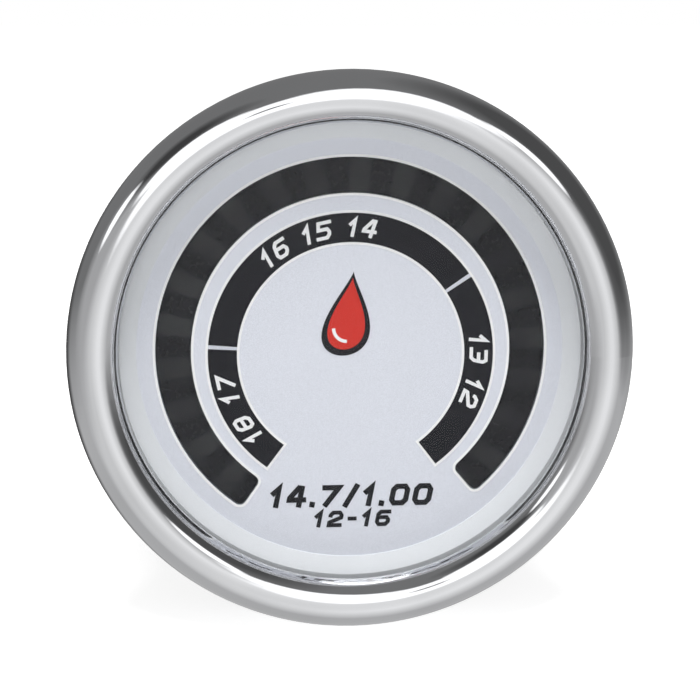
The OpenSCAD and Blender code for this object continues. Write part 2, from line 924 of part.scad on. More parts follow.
module nut_left() {
  color("silver") as_seen() translate([-stud_x, 0, 0]) nut();
}

module nut_right() {
  color("silver") as_seen() translate([stud_x, 0, 0]) nut();
}

bezel();
lens_gasket();
lens();
reveal_ring();
dial_plate();
zone_band();
arc_window();
led_baffle();
lean_leds();
stoich_leds();
rich_leds();
light_guide();
display_board();
board_spacers();
driver_board();
board_screws();
header_pins();
driver_chips();
capacitor();
voltage_regulator();
resistors();
diode();
brightness_trimmer();
lead_connector();
case();
lead_grommet();
mounting_studs();
lamp_socket();
lamp_bulb();
clamp_bracket();
lock_washers();
nut_left();
nut_right();
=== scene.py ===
"""Dresses the dashboard air and fuel ratio gauge and sets it in a small light tent.

A length is in metres unless its name ends in _mm, and an angle is in radians unless its name
ends in _deg. The dial faces -Y, +Z is up and the origin is on the gauge's axis, in the plane
where the bezel's back meets the panel.
"""

import logging
import math
from dataclasses import dataclass
from enum import Enum
from functools import partial
from typing import Callable, Iterator, Optional, Sequence

import bmesh
import bpy
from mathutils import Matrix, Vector


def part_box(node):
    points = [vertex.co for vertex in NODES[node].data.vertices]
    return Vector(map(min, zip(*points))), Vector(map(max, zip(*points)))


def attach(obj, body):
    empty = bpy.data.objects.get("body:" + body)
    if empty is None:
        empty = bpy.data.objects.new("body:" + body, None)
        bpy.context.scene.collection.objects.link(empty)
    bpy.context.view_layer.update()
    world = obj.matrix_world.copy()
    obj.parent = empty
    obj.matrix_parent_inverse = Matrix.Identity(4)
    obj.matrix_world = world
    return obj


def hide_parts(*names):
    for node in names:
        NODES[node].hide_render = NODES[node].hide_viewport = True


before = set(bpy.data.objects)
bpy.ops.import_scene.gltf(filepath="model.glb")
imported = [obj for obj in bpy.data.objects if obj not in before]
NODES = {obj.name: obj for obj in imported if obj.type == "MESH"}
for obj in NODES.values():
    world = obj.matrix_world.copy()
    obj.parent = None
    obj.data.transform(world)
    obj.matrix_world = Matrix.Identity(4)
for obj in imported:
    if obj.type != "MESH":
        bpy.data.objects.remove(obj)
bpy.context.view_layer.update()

LOG = logging.getLogger("gauge")

MM = 0.001
FULL_TURN = 2 * math.pi
SIX_OCLOCK_DEG = 270.0
GAUGE_BODY = "gauge"

Point = tuple[float, float]
Corner = tuple[float, float, float]
Colour = tuple[float, float, float, float]
Place = Callable[[float, float], Point]
Socket = bpy.types.NodeSocket

# The material of each finish by its name, so that pieces share it.
MADE: dict[str, bpy.types.Material] = {}


class Sum(Enum):
    """The sums that the finishes need from a Math node."""

    ADDED = "ADD"
    LESS = "SUBTRACT"
    TIMES = "MULTIPLY"
    SHARED = "DIVIDE"
    LARGER = "MAXIMUM"
    SMALLER = "MINIMUM"
    WHOLE = "ROUND"
    SIZE = "ABSOLUTE"
    BELOW = "LESS_THAN"
    HEADING = "ARCTAN2"
    ANGLE = "ARCCOSINE"


class Blend(Enum):
    """What a Mix node mixes: its data type, the numbers of its two inputs, and its output's."""

    NUMBERS = ("FLOAT", 2, 3, 0)
    COLOURS = ("RGBA", 6, 7, 2)


class Ray(Enum):
    """The kinds of light ray that a material can tell apart."""

    CAMERA = "Is Camera Ray"
    TRANSMISSION = "Is Transmission Ray"
    GLOSSY = "Is Glossy Ray"
    DIFFUSE = "Is Diffuse Ray"
    SHADOW = "Is Shadow Ray"


class Side(Enum):
    """The gauge's two sides as seen from the front, each with its sense along X."""

    LEFT = -1
    RIGHT = 1


def shade(red: float, green: float, blue: float) -> Colour:
    """Returns a full linear colour from its three parts."""
    return (red, green, blue, 1.0)


def scaled(colour: Colour, share: float, lift: float = 0.0) -> Colour:
    """Makes a colour lighter or darker.

    Args:
        colour: the colour to start from.
        share: what each part is multiplied by.
        lift: what is then added to each part.

    Returns:
        The new colour, with no part over 1.
    """
    red, green, blue = (min(1.0, share * part + lift) for part in colour[:3])
    return shade(red, green, blue)


def on_dial(degrees: float) -> float:
    """Turns a place round the dial into an angle on the drawing.

    Args:
        degrees: the place, in degrees clockwise from six o'clock as seen from the front.

    Returns:
        The angle from +X towards +Z, in radians.
    """
    return math.radians(SIX_OCLOCK_DEG - degrees)


def polar(radius: float, angle: float) -> Point:
    """Returns the point at a radius and an angle in radians."""
    return (radius * math.cos(angle), radius * math.sin(angle))


def arc(centre: Point, radius: float, start: float, end: float, steps: int) -> list[Point]:
    """Divides an arc evenly.

    Args:
        centre: the arc's centre.
        radius: its radius.
        start: its first angle, in radians.
        end: its last angle.
        steps: how many parts it has.

    Returns:
        Its points, both ends included.
    """
    points = []
    for index in range(steps + 1):
        x, y = polar(radius, start + (end - start) * index / steps)
        points.append((centre[0] + x, centre[1] + y))
    return points


def put(name: str, data: bpy.types.ID) -> bpy.types.Object:
    """Makes an object and links it to the scene.

    Args:
        name: the object's name.
        data: its mesh, lamp or camera.

    Returns:
        The new object.
    """
    made = bpy.data.objects.new(name, data)
    bpy.context.collection.objects.link(made)
    return made


def finished(work: bmesh.types.BMesh, name: str) -> bpy.types.Mesh:
    """Turns bmesh work into a mesh and frees the work.

    Args:
        work: the bmesh.
        name: the mesh's name.

    Returns:
        The new mesh.
    """
    mesh = bpy.data.meshes.new(name)
    work.to_mesh(mesh)
    work.free()
    return mesh


class Graph:
    """A node tree, with short calls for the nodes that the finishes share."""

    def __init__(self, tree: bpy.types.NodeTree) -> None:
        """Takes up a tree.

        Args:
            tree: the node tree of a material or of the world.
        """
        self.tree = tree
        self._place: Optional[Socket] = None

    def node(self, kind: str, **settings: object) -> bpy.types.Node:
        """Adds a node.

        Args:
            kind: the node's type name.
            settings: attributes to set on it.

        Returns:
            The new node.
        """
        made = self.tree.nodes.new(kind)
        for key, value in settings.items():
            setattr(made, key, value)
        return made

    def feed(self, socket: Socket, value: object) -> None:
        """Links a socket, or sets its plain value.

        Args:
            socket: the input.
            value: an output socket to link, or a number, colour or vector to set.
        """
        if isinstance(value, bpy.types.NodeSocket):
            self.tree.links.new(value, socket)
        else:
            socket.default_value = value

    @property
    def place(self) -> Socket:
        """The point on the object.

        Returns:
            The point, in metres in the gauge's own frame.
        """
        if self._place is None:
            self._place = self.node("ShaderNodeTexCoord").outputs["Object"]
        return self._place

    def along(self, axis: str) -> Socket:
        """Finds how far along one axis the place is.

        Args:
            axis: X, Y or Z.

        Returns:
            The place along it, in metres.
        """
        apart = self.node("ShaderNodeSeparateXYZ")
        self.feed(apart.inputs["Vector"], self.place)
        return apart.outputs[axis]

    def stretched(self, scale: Sequence[float]) -> Socket:
        """Scales the place along each axis, for drawn-out grain.

        Args:
            scale: the three scales.

        Returns:
            The scaled place.
        """
        mapping = self.node("ShaderNodeMapping")
        self.feed(mapping.inputs["Vector"], self.place)
        self.feed(mapping.inputs["Scale"], tuple(scale))
        return mapping.outputs["Vector"]

    def noise(self, size_mm: float, detail: float = 3.0, where: Optional[Socket] = None) -> Socket:
        """Adds cloudy noise.

        Args:
            size_mm: the size of its largest features.
            detail: how many finer octaves it has.
            where: the coordinate, or None for the place.

        Returns:
            The noise's value, from 0 to 1.
        """
        made = self.node("ShaderNodeTexNoise")
        self.feed(made.inputs["Vector"], where or self.place)
        self.feed(made.inputs["Scale"], 1.0 / (size_mm * MM))
        self.feed(made.inputs["Detail"], detail)
        return made.outputs["Fac"]

    def grains(self, size_mm: float) -> Socket:
        """Adds grains that are each evenly bright.

        Args:
            size_mm: the size of a grain.

        Returns:
            The grains' brightness, from 0 to 1.
        """
        cells = self.node("ShaderNodeTexVoronoi")
        self.feed(cells.inputs["Vector"], self.place)
        self.feed(cells.inputs["Scale"], 1.0 / (size_mm * MM))
        bright = self.node("ShaderNodeRGBToBW")
        self.feed(bright.inputs["Color"], cells.outputs["Color"])
        return bright.outputs["Val"]

    def sum(self, kind: Sum, first: object, second: object = 0.0) -> Socket:
        """Adds a Math node.

        Args:
            kind: its operation.
            first: its first value or socket.
            second: its second value or socket.

        Returns:
            Its result.
        """
        made = self.node("ShaderNodeMath", operation=kind.value)
        self.feed(made.inputs[0], first)
        self.feed(made.inputs[1], second)
        return made.outputs[0]

    def spread(self, value: Socket, low: float, high: float,
               start: float = 0.0, end: float = 1.0) -> Socket:
        """Maps a value from one range to another, clamped.

        Args:
            value: the socket to map.
            low: the result at start.
            high: the result at end.
            start: the value that gives low.
            end: the value that gives high.

        Returns:
            The mapped socket.
        """
        made = self.node("ShaderNodeMapRange")
        self.feed(made.inputs["Value"], value)
        for name, number in zip(("From Min", "From Max", "To Min", "To Max"),
                                (start, end, low, high)):
            self.feed(made.inputs[name], number)
        return made.outputs["Result"]

    def mixed(self, share: object, first: object, second: object,
              blend: Blend = Blend.COLOURS) -> Socket:
        """Mixes two colours or two numbers.

        Args:
            share: the share of the second, as a number or socket.
            first: the value or socket at 0.
            second: the value or socket at 1.
            blend: what is mixed.

        Returns:
            The mixture.
        """
        data_type, first_input, second_input, output = blend.value
        made = self.node("ShaderNodeMix", data_type=data_type)
        self.feed(made.inputs[0], share)
        self.feed(made.inputs[first_input], first)
        self.feed(made.inputs[second_input], second)
        return made.outputs[output]

    def bump(self, height: Socket, depth_mm: float, strength: float = 1.0) -> Socket:
        """Adds relief.

        Args:
            height: the height's socket, from 0 to 1.
            depth_mm: the depth of the relief.
            strength: how much of it shows.

        Returns:
            The bent normal.
        """
        made = self.node("ShaderNodeBump")
        self.feed(made.inputs["Height"], height)
        self.feed(made.inputs["Distance"], depth_mm * MM)
        self.feed(made.inputs["Strength"], strength)
        return made.outputs["Normal"]

    def rays(self, first: Ray, *others: Ray) -> Socket:
        """Tells some kinds of ray from the rest.

        Args:
            first: one kind.
            others: the other kinds.

        Returns:
            1 for a ray of any of these kinds, and 0 for the rest.
        """
        path = self.node("ShaderNodeLightPath")
        told = path.outputs[first.value]
        for ray in others:
            told = self.sum(Sum.LARGER, path.outputs[ray.value], told)
        return told

    def principled(self, **values: object) -> Socket:
        """Adds the main shader.

        Args:
            values: its inputs by name, with underscores for spaces.

        Returns:
            The shader.
        """
        made = self.node("ShaderNodeBsdfPrincipled")
        for name, value in values.items():
            self.feed(made.inputs[name.replace("_", " ")], value)
        return made.outputs["BSDF"]

    def clear(self, colour: Colour) -> Socket:
        """Adds a shader that lets light straight through.

        Args:
            colour: the tint that the light takes.

        Returns:
            The shader.
        """
        made = self.node("ShaderNodeBsdfTransparent")
        self.feed(made.inputs["Color"], colour)
        return made.outputs["BSDF"]

    def glow(self, level: object) -> Socket:
        """Adds a white glow.

        Args:
            level: its strength, a number or a socket.

        Returns:
            The shader.
        """
        made = self.node("ShaderNodeEmission")
        self.feed(made.inputs["Strength"], level)
        return made.outputs["Emission"]

    def either(self, share: object, first: Socket, second: Socket) -> Socket:
        """Mixes two shaders.

        Args:
            share: the share of the second, as a number or socket.
            first: the shader at 0.
            second: the shader at 1.

        Returns:
            The mixed shader.
        """
        made = self.node("ShaderNodeMixShader")
        for socket, value in zip(made.inputs, (share, first, second)):
            self.feed(socket, value)
        return made.outputs["Shader"]


@dataclass(frozen=True)
class Finish:
    """One surface finish: a name and the recipe that makes its material.

    Attributes:
        name: the material's name.
        colour: its main colour.
    """

    name: str
    colour: Colour

    def material(self) -> bpy.types.Material:
        """Makes the finish's material once, and then shares it.

        Returns:
            The material.
        """
        if self.name not in MADE:
            made = bpy.data.materials.new(self.name)
            made.use_nodes = True
            made.node_tree.nodes.clear()
            graph = Graph(made.node_tree)
            output = graph.node("ShaderNodeOutputMaterial")
            graph.feed(output.inputs["Surface"], self.make(graph))
            MADE[self.name] = made
        return MADE[self.name]

    def make(self, graph: Graph) -> Socket:
        """Builds the finish.

        Args:
            graph: the material's empty tree.

        Returns:
            The shader.
        """
        raise NotImplementedError


Dressing = tuple[tuple[str, Finish], ...]


@dataclass(frozen=True)
class PolishedChrome(Finish):
    """Bright plating over spun metal, with the faint waves and wipe marks that polish leaves.

    Attributes:
        wave_mm: the size of the waves.
        wave_depth_mm: their depth.
        wave_share: how bright the metal is where a wave is highest.
        mark_mm: the size of the wipe marks.
        rough: the roughness between the marks.
        mark_rough: the roughness on them.
    """

    wave_mm: float = 9.0
    wave_depth_mm: float = 0.012
    wave_share: float = 0.93
    mark_mm: float = 0.35
    rough: float = 0.035
    mark_rough: float = 0.085

    def make(self, graph: Graph) -> Socket:
        """Builds the chrome.

        Args:
            graph: the material's empty tree.

        Returns:
            The shader.
        """
        waves = graph.noise(self.wave_mm, detail=1.0)
        marks = graph.noise(self.mark_mm, detail=4.0)
        return graph.principled(
            Base_Color=graph.mixed(graph.spread(waves, 0.0, 1.0, start=0.3, end=0.7),
                                   self.colour, scaled(self.colour, self.wave_share)),
            Metallic=1.0,
            Roughness=graph.spread(marks, self.rough, self.mark_rough, start=0.35, end=0.75),
            Normal=graph.bump(waves, self.wave_depth_mm))


@dataclass(frozen=True)
class ZincPlate(Finish):
    """Plated steel: dull bright metal with cloudy patches and drawn-out rolling grain.

    Attributes:
        grain: the grain's fineness along each axis, where less than 1 draws it out.
        rough: the roughness of the clear patches.
        tint: the colour of the cloudy patches.
        tint_share: how strong the tint is.
        cloud_mm: the size of the patches.
        cloud_rough: how much rougher they are.
        grain_mm: the width of the grain.
        grain_depth_mm: its depth.
        grain_rough: how much the roughness swings with it, either way.
    """

    grain: tuple[float, float, float] = (1.0, 0.06, 1.0)
    rough: float = 0.30
    tint: Colour = shade(0.52, 0.50, 0.42)
    tint_share: float = 0.55
    cloud_mm: float = 3.5
    cloud_rough: float = 0.14
    grain_mm: float = 0.12
    grain_depth_mm: float = 0.012
    grain_rough: float = 0.05

    def make(self, graph: Graph) -> Socket:
        """Builds the plated steel.

        Args:
            graph: the material's empty tree.

        Returns:
            The shader.
        """
        clouds = graph.noise(self.cloud_mm, detail=4.0)
        grain = graph.noise(self.grain_mm, detail=2.0, where=graph.stretched(self.grain))
        tinted = graph.spread(clouds, 0.0, self.tint_share, start=0.35, end=0.7)
        return graph.principled(
            Base_Color=graph.mixed(tinted, self.colour, self.tint),
            Metallic=1.0,
            Roughness=graph.sum(
                Sum.ADDED, graph.spread(clouds, self.rough, self.rough + self.cloud_rough),
                graph.spread(grain, -self.grain_rough, self.grain_rough)),
            Normal=graph.bump(grain, self.grain_depth_mm, strength=0.6))


@dataclass(frozen=True)
class MouldedPlastic(Finish):
    """Moulded plastic with a spark-eroded skin, and a little paler where it was handled.

    Attributes:
        skin_mm: the size of the skin's texture.
        skin_depth_mm: its depth.
        rough: the plastic's roughness.
        paler: how many times paler the handled patches are.
        wear_mm: the size of the handled patches.
        wear_rough: how much the roughness swings with them, either way.
    """

    skin_mm: float = 0.22
    skin_depth_mm: float = 0.018
    rough: float = 0.48
    paler: float = 1.5
    wear_mm: float = 6.0
    wear_rough: float = 0.08

    def make(self, graph: Graph) -> Socket:
        """Builds the plastic.

        Args:
            graph: the material's empty tree.

        Returns:
            The shader.
        """
        skin = graph.noise(self.skin_mm)
        wear = graph.noise(self.wear_mm, detail=5.0)
        worn = graph.spread(wear, 0.0, 1.0, start=0.45, end=0.8)
        return graph.principled(
            Base_Color=graph.mixed(worn, self.colour, scaled(self.colour, self.paler)),
            Roughness=graph.spread(wear, self.rough + self.wear_rough,
                                   self.rough - self.wear_rough, start=0.3, end=0.7),
            Normal=graph.bump(skin, self.skin_depth_mm, strength=0.8))


@dataclass(frozen=True)
class ClearMoulding(Finish):
    """Clear or tinted plastic that shows what stands behind it.

    Attributes:
        index: its refractive index.
        rough: its roughness.
        flow_mm: the size of the flow marks.
        flow_depth_mm: their depth.
        flow_rough: how much rougher they are.
    """

    index: float = 1.49
    rough: float = 0.08
    flow_mm: float = 4.0
    flow_depth_mm: float = 0.02
    flow_rough: float = 0.06

    def make(self, graph: Graph) -> Socket:
        """Builds the clear moulding.

        Args:
            graph: the material's empty tree.

        Returns:
            The shader.
        """
        flow = graph.noise(self.flow_mm, detail=2.0)
        return graph.principled(
            Base_Color=self.colour,
            IOR=self.index,
            Transmission_Weight=1.0,
            Roughness=graph.spread(flow, self.rough, self.rough + self.flow_rough),
            Normal=graph.bump(flow, self.flow_depth_mm, strength=0.3))


@dataclass(frozen=True)
class WindowGlass(Finish):
    """Flat coated glass. Lamp light passes straight through, so that the dial is lit.

    Attributes:
        index: its refractive index, low because the coating takes most of the mirroring.
        dust_mm: the size of the dust's patches.
        dust_rough: the roughness of the dustiest places.
    """

    index: float = 1.13
    dust_mm: float = 1.2
    dust_rough: float = 0.012

    def make(self, graph: Graph) -> Socket:
        """Builds the glass.

        Args:
            graph: the material's empty tree.

        Returns:
            The shader.
        """
        dust = graph.noise(self.dust_mm, detail=5.0)
        glass = graph.principled(
            Base_Color=self.colour,
            IOR=self.index,
            Transmission_Weight=1.0,
            Roughness=graph.spread(dust, 0.0, self.dust_rough, start=0.5, end=0.8))
        return graph.either(graph.rays(Ray.DIFFUSE, Ray.SHADOW), glass, graph.clear(self.colour))


@dataclass(frozen=True)
class SatinPaint(Finish):
    """Silver paint: fine flakes in a satin film.

    Attributes:
        flake_mm: the size of a flake.
        contrast: how much darker or lighter than the colour a flake can be.
        rough: the film's roughness.
        metal: how metallic it is.
        film_mm: the size of the film's ripples.
        film_depth_mm: their depth.
        film_rough: how far the roughness goes below and above with them.
    """

    flake_mm: float = 0.07
    contrast: float = 0.10
    rough: float = 0.52
    metal: float = 0.08
    film_mm: float = 0.6
    film_depth_mm: float = 0.004
    film_rough: tuple[float, float] = (0.04, 0.06)

    def make(self, graph: Graph) -> Socket:
        """Builds the paint.

        Args:
            graph: the material's empty tree.

        Returns:
            The shader.
        """
        film = graph.noise(self.film_mm, detail=2.0)
        below, above = self.film_rough
        return graph.principled(
            Base_Color=graph.mixed(graph.grains(self.flake_mm),
                                   scaled(self.colour, 1.0 - self.contrast),
                                   scaled(self.colour, 1.0 + self.contrast)),
            Metallic=self.metal,
            Roughness=graph.spread(film, self.rough - below, self.rough + above),
            Normal=graph.bump(film, self.film_depth_mm, strength=0.5))


@dataclass(frozen=True)
class PrintedInk(Finish):
    """Screen-printed ink: an even film with a slightly mottled gloss.

    Attributes:
        rough: its roughness.
        gloss: its specular level.
        film_mm: the size of the mottling.
        film_depth_mm: its depth.
        film_rough: how much rougher it gets with the mottling.
        thin: how a thin place's colour is scaled and lifted.
    """

    rough: float = 0.42
    gloss: float = 0.12
    film_mm: float = 0.16
    film_depth_mm: float = 0.003
    film_rough: float = 0.12
    thin: tuple[float, float] = (1.12, 0.004)

    def make(self, graph: Graph) -> Socket:
        """Builds the ink.

        Args:
            graph: the material's empty tree.

        Returns:
            The shader.
        """
        film = graph.noise(self.film_mm)
        thinned = graph.spread(film, 0.0, 1.0, start=0.35, end=0.7)
        return graph.principled(
            Base_Color=graph.mixed(thinned, self.colour, scaled(self.colour, *self.thin)),
            Specular_IOR_Level=self.gloss,
            Roughness=graph.spread(film, self.rough, self.rough + self.film_rough),
            Normal=graph.bump(film, self.film_depth_mm, strength=0.5))


@dataclass(frozen=True)
class SmokedWindow(Finish):
    """Smoked plastic over the lamps: nearly black, with each lamp's cell a faint paler bar.

    Attributes:
        bar: the colour of a bar.
        first_deg: the first lamp's place, clockwise from six o'clock.
        pitch_deg: the angle between lamps.
        bar_deg: the width of a bar.
        soft_deg: half the width over which a bar's edge fades.
        uneven_mm: the size of the patches in which the bars show more or less.
        see_through: the share of light that passes straight through.
        smoke: the tint that this light takes.
        gloss: the plastic's specular level.
        skin_mm: the size of its skin's texture.
        skin_depth_mm: the depth of that texture.
        rough: the least and the most roughness.
    """

    bar: Colour = shade(0.036, 0.038, 0.040)
    first_deg: float = 43.75
    pitch_deg: float = 13.9
    bar_deg: float = 6.4
    soft_deg: float = 0.7
    uneven_mm: float = 7.0
    see_through: float = 0.10
    smoke: Colour = shade(0.30, 0.30, 0.32)
    gloss: float = 0.12
    skin_mm: float = 0.5
    skin_depth_mm: float = 0.004
    rough: tuple[float, float] = (0.22, 0.34)

    def bars(self, graph: Graph) -> Socket:
        """Draws the lamps' bars.

        Args:
            graph: the material's tree.

        Returns:
            How strongly a bar shows, from 0 to 1.
        """
        heading = graph.sum(Sum.HEADING, graph.along("X"), graph.along("Z"))
        turned = graph.sum(Sum.TIMES, heading, math.degrees(1.0))
        clockwise = graph.sum(Sum.ADDED, turned, math.degrees(math.pi))
        past_first = graph.sum(Sum.LESS, clockwise, self.first_deg)
        steps = graph.sum(Sum.SHARED, past_first, self.pitch_deg)
        away = graph.sum(Sum.SIZE, graph.sum(Sum.LESS, steps, graph.sum(Sum.WHOLE, steps)))
        half = self.bar_deg / 2 / self.pitch_deg
        soft = self.soft_deg / self.pitch_deg
        drawn = graph.spread(away, 1.0, 0.0, start=half - soft, end=half + soft)
        uneven = graph.noise(self.uneven_mm, detail=1.0)
        return graph.sum(Sum.TIMES, drawn, graph.spread(uneven, 0.15, 1.0, start=0.35, end=0.65))

    def make(self, graph: Graph) -> Socket:
        """Builds the smoked window.

        Args:
            graph: the material's empty tree.

        Returns:
            The shader.
        """
        skin = graph.noise(self.skin_mm)
        plastic = graph.principled(
            Base_Color=graph.mixed(self.bars(graph), self.colour, self.bar),
            Specular_IOR_Level=self.gloss,
            Roughness=graph.spread(skin, *self.rough),
            Normal=graph.bump(skin, self.skin_depth_mm, strength=0.4))
        return graph.either(self.see_through, plastic, graph.clear(self.smoke))


@dataclass(frozen=True)
class SolderMask(Finish):
    """A circuit board's green mask over straight copper tracks.

    Attributes:
        track_mm: the spacing of the tracks.
        block_tracks: how many tracks a block is high.
        track_share: the width of a track, as a share of a block of tracks.
        track_depth_mm: how far a track stands up.
        row_shift: how far each row of blocks is shifted.
        copper: how the mask's colour is scaled and lifted over copper.
        weave_mm: the size of the board's weave.
        rough: the least and the most roughness.
    """

    track_mm: float = 0.9
    block_tracks: float = 4.0
    track_share: float = 0.06
    track_depth_mm: float = 0.03
    row_shift: float = 0.37
    copper: tuple[float, float] = (1.9, 0.01)
    weave_mm: float = 0.5
    rough: tuple[float, float] = (0.22, 0.36)

    def make(self, graph: Graph) -> Socket:
        """Builds the board's surface.

        Args:
            graph: the material's empty tree.

        Returns:
            The shader.
        """
        blocks = graph.node("ShaderNodeTexBrick", offset=self.row_shift)
        graph.feed(blocks.inputs["Vector"], graph.place)
        graph.feed(blocks.inputs["Scale"], 1.0 / (self.block_tracks * self.track_mm * MM))
        graph.feed(blocks.inputs["Mortar Size"], self.track_share)
        tracks = blocks.outputs["Fac"]
        return graph.principled(
            Base_Color=graph.mixed(tracks, self.colour, scaled(self.colour, *self.copper)),
            Roughness=graph.spread(graph.noise(self.weave_mm, detail=2.0), *self.rough),
            Normal=graph.bump(tracks, self.track_depth_mm, strength=0.5))


@dataclass(frozen=True)
class BandedLacquer(Finish):
    """A resistor's tan lacquer with coloured bands at steps along X.

    Attributes:
        centre_mm: where the middle of the bands is.
        step_mm: the step from band to band.
        band_mm: the width of a band.
        bands: the bands' colours.
        skin_mm: the size of the lacquer's ripples.
        skin_depth_mm: their depth.
        rough: the least and the most roughness.
    """

    centre_mm: float = -6.63
    step_mm: float = 0.62
    band_mm: float = 0.26
    bands: tuple[Colour, ...] = (shade(0.35, 0.03, 0.02), shade(0.02, 0.02, 0.02),
                                 shade(0.45, 0.12, 0.01), shade(0.55, 0.36, 0.10))
    skin_mm: float = 0.3
    skin_depth_mm: float = 0.01
    rough: tuple[float, float] = (0.25, 0.4)

    def make(self, graph: Graph) -> Socket:
        """Builds the lacquer.

        Args:
            graph: the material's empty tree.

        Returns:
            The shader.
        """
        across = graph.along("X")
        colour: object = self.colour
        middle = (len(self.bands) - 1) / 2
        for index, band in enumerate(self.bands):
            centre = (self.centre_mm + (index - middle) * self.step_mm) * MM
            away = graph.sum(Sum.SIZE, graph.sum(Sum.LESS, across, centre))
            inside = graph.sum(Sum.BELOW, away, self.band_mm * MM / 2)
            colour = graph.mixed(inside, colour, band)
        skin = graph.noise(self.skin_mm, detail=2.0)
        return graph.principled(
            Base_Color=colour,
            Roughness=graph.spread(skin, *self.rough),
            Normal=graph.bump(skin, self.skin_depth_mm, strength=0.5))


# The grain of a piece that was not drawn out.
EVEN_GRAIN = (1.0, 1.0, 1.0)

CHROME = PolishedChrome("polished_chrome", shade(0.66, 0.665, 0.68))
GLASS = WindowGlass("dial_glass", shade(0.985, 0.99, 0.99))
SEAL = MouldedPlastic("lens_seal", shade(0.030, 0.030, 0.030),
                      skin_mm=0.5, skin_depth_mm=0.02, rough=0.75, paler=1.3)
RING = SatinPaint("pale_ring", shade(0.72, 0.735, 0.765), flake_mm=0.12, contrast=0.03, rough=0.38)
DIAL_SILVER = SatinPaint("dial_paint", shade(0.70, 0.715, 0.785))
BAND_INK = PrintedInk("band_print", shade(0.007, 0.007, 0.010))
# White for the painted edge highlights round the window and the zone band, and for the drop's
# printed glint.
LINE_WHITE = PrintedInk("line_white", shade(0.95, 0.95, 0.96))
FIGURE_WHITE = PrintedInk("figure_white", shade(0.86, 0.86, 0.87))
FIGURE_BLACK = PrintedInk("figure_black", shade(0.010, 0.010, 0.013))
DROP_RED = PrintedInk("drop_red", shade(0.62, 0.035, 0.025))
SMOKE = SmokedWindow("smoked_window", shade(0.012, 0.012, 0.015))
BAFFLE = MouldedPlastic("baffle_plastic", shade(0.03, 0.03, 0.03),
                        skin_mm=0.4, skin_depth_mm=0.02, rough=0.6)
LED_RED = ClearMoulding("epoxy_red", shade(0.85, 0.08, 0.06), index=1.54, rough=0.12)
LED_AMBER = ClearMoulding("epoxy_amber", shade(0.95, 0.50, 0.08), index=1.54, rough=0.12)
LED_GREEN = ClearMoulding("epoxy_green", shade(0.10, 0.75, 0.20), index=1.54, rough=0.12)
GUIDE = ClearMoulding("clear_acrylic", shade(0.94, 0.96, 0.97))
BOARD = SolderMask("solder_mask", shade(0.012, 0.085, 0.030))
TURNED_METAL = ZincPlate("turned_aluminium", shade(0.70, 0.70, 0.71),
                         grain=(1.0, 0.3, 1.0), rough=0.25, tint=shade(0.62, 0.62, 0.63))
SCREW_ZINC = ZincPlate("screw_zinc", shade(0.62, 0.62, 0.63), grain=EVEN_GRAIN, rough=0.28)
BRASS = ZincPlate("plated_brass", shade(0.78, 0.58, 0.22),
                  grain=(1.0, 0.2, 1.0), rough=0.22, tint=shade(0.66, 0.45, 0.16))
CHIP = MouldedPlastic("chip_epoxy", shade(0.022, 0.022, 0.024),
                      skin_mm=0.15, skin_depth_mm=0.015, rough=0.55)
SLEEVE = MouldedPlastic("sleeve_film", shade(0.010, 0.018, 0.060),
                        skin_mm=1.5, skin_depth_mm=0.01, rough=0.25, paler=1.2)
TAB_EPOXY = MouldedPlastic("regulator_epoxy", shade(0.025, 0.025, 0.027),
                           skin_mm=0.2, skin_depth_mm=0.015, rough=0.5)
LACQUER = BandedLacquer("resistor_lacquer", shade(0.50, 0.30, 0.14))
DIODE = MouldedPlastic("diode_epoxy", shade(0.016, 0.016, 0.017),
                       skin_mm=0.3, skin_depth_mm=0.01, rough=0.3)
TRIMMER = MouldedPlastic("trimmer_plastic", shade(0.012, 0.06, 0.36),
                         skin_mm=0.4, skin_depth_mm=0.01, rough=0.35, paler=1.2)
NYLON = MouldedPlastic("connector_nylon", shade(0.66, 0.60, 0.44),
                       skin_mm=0.4, skin_depth_mm=0.01, rough=0.45, paler=1.1)
CASE_PLASTIC = MouldedPlastic("case_plastic", shade(0.016, 0.016, 0.017),
                              skin_mm=0.22, skin_depth_mm=0.022, rough=0.50, paler=1.35)
GROMMET = MouldedPlastic("grommet_moulding", shade(0.022, 0.022, 0.022),
                         skin_mm=0.6, skin_depth_mm=0.02, rough=0.72, paler=1.3)
SOCKET = MouldedPlastic("socket_plastic", shade(0.014, 0.014, 0.014),
                        skin_mm=0.3, skin_depth_mm=0.02, rough=0.42, paler=1.6)
BULB = ClearMoulding("bulb_envelope", shade(0.97, 0.98, 0.98), index=1.5, rough=0.01)
STUD_ZINC = ZincPlate("stud_zinc", shade(0.60, 0.60, 0.60), grain=EVEN_GRAIN, rough=0.27)
STRAP_ZINC = ZincPlate("strap_zinc", shade(0.60, 0.60, 0.60), grain=(0.08, 1.0, 1.0), rough=0.30)
SPRING_STEEL = ZincPlate("spring_steel", shade(0.24, 0.23, 0.22),
                         grain=EVEN_GRAIN, rough=0.36, tint=shade(0.15, 0.12, 0.10))
NUT_ZINC = ZincPlate("nut_zinc", shade(0.63, 0.63, 0.62), grain=(1.0, 1.0, 0.3), rough=0.26)


def paint(name: str, finish: Finish) -> None:
    """Gives a CAD node its finish.

    Args:
        name: the node's name.
        finish: the finish.
    """
    for slot in NODES[name].material_slots:
        slot.material = finish.material()
    LOG.info("%s: %s", name, finish.name)


def piece(name: str, mesh: bpy.types.Mesh, finish: Finish,
          body: str = GAUGE_BODY) -> bpy.types.Object:
    """Adds a made piece to the gauge.

    Args:
        name: the piece's name.
        mesh: its mesh, in the gauge's own frame.
        finish: its finish.
        body: the CAD body that it moves with.

    Returns:
        The new object.
    """
    made = put(name, mesh)
    mesh.materials.append(finish.material())
    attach(made, body)
    LOG.info("%s: %d faces, on %s", name, len(mesh.polygons), body)
    return made


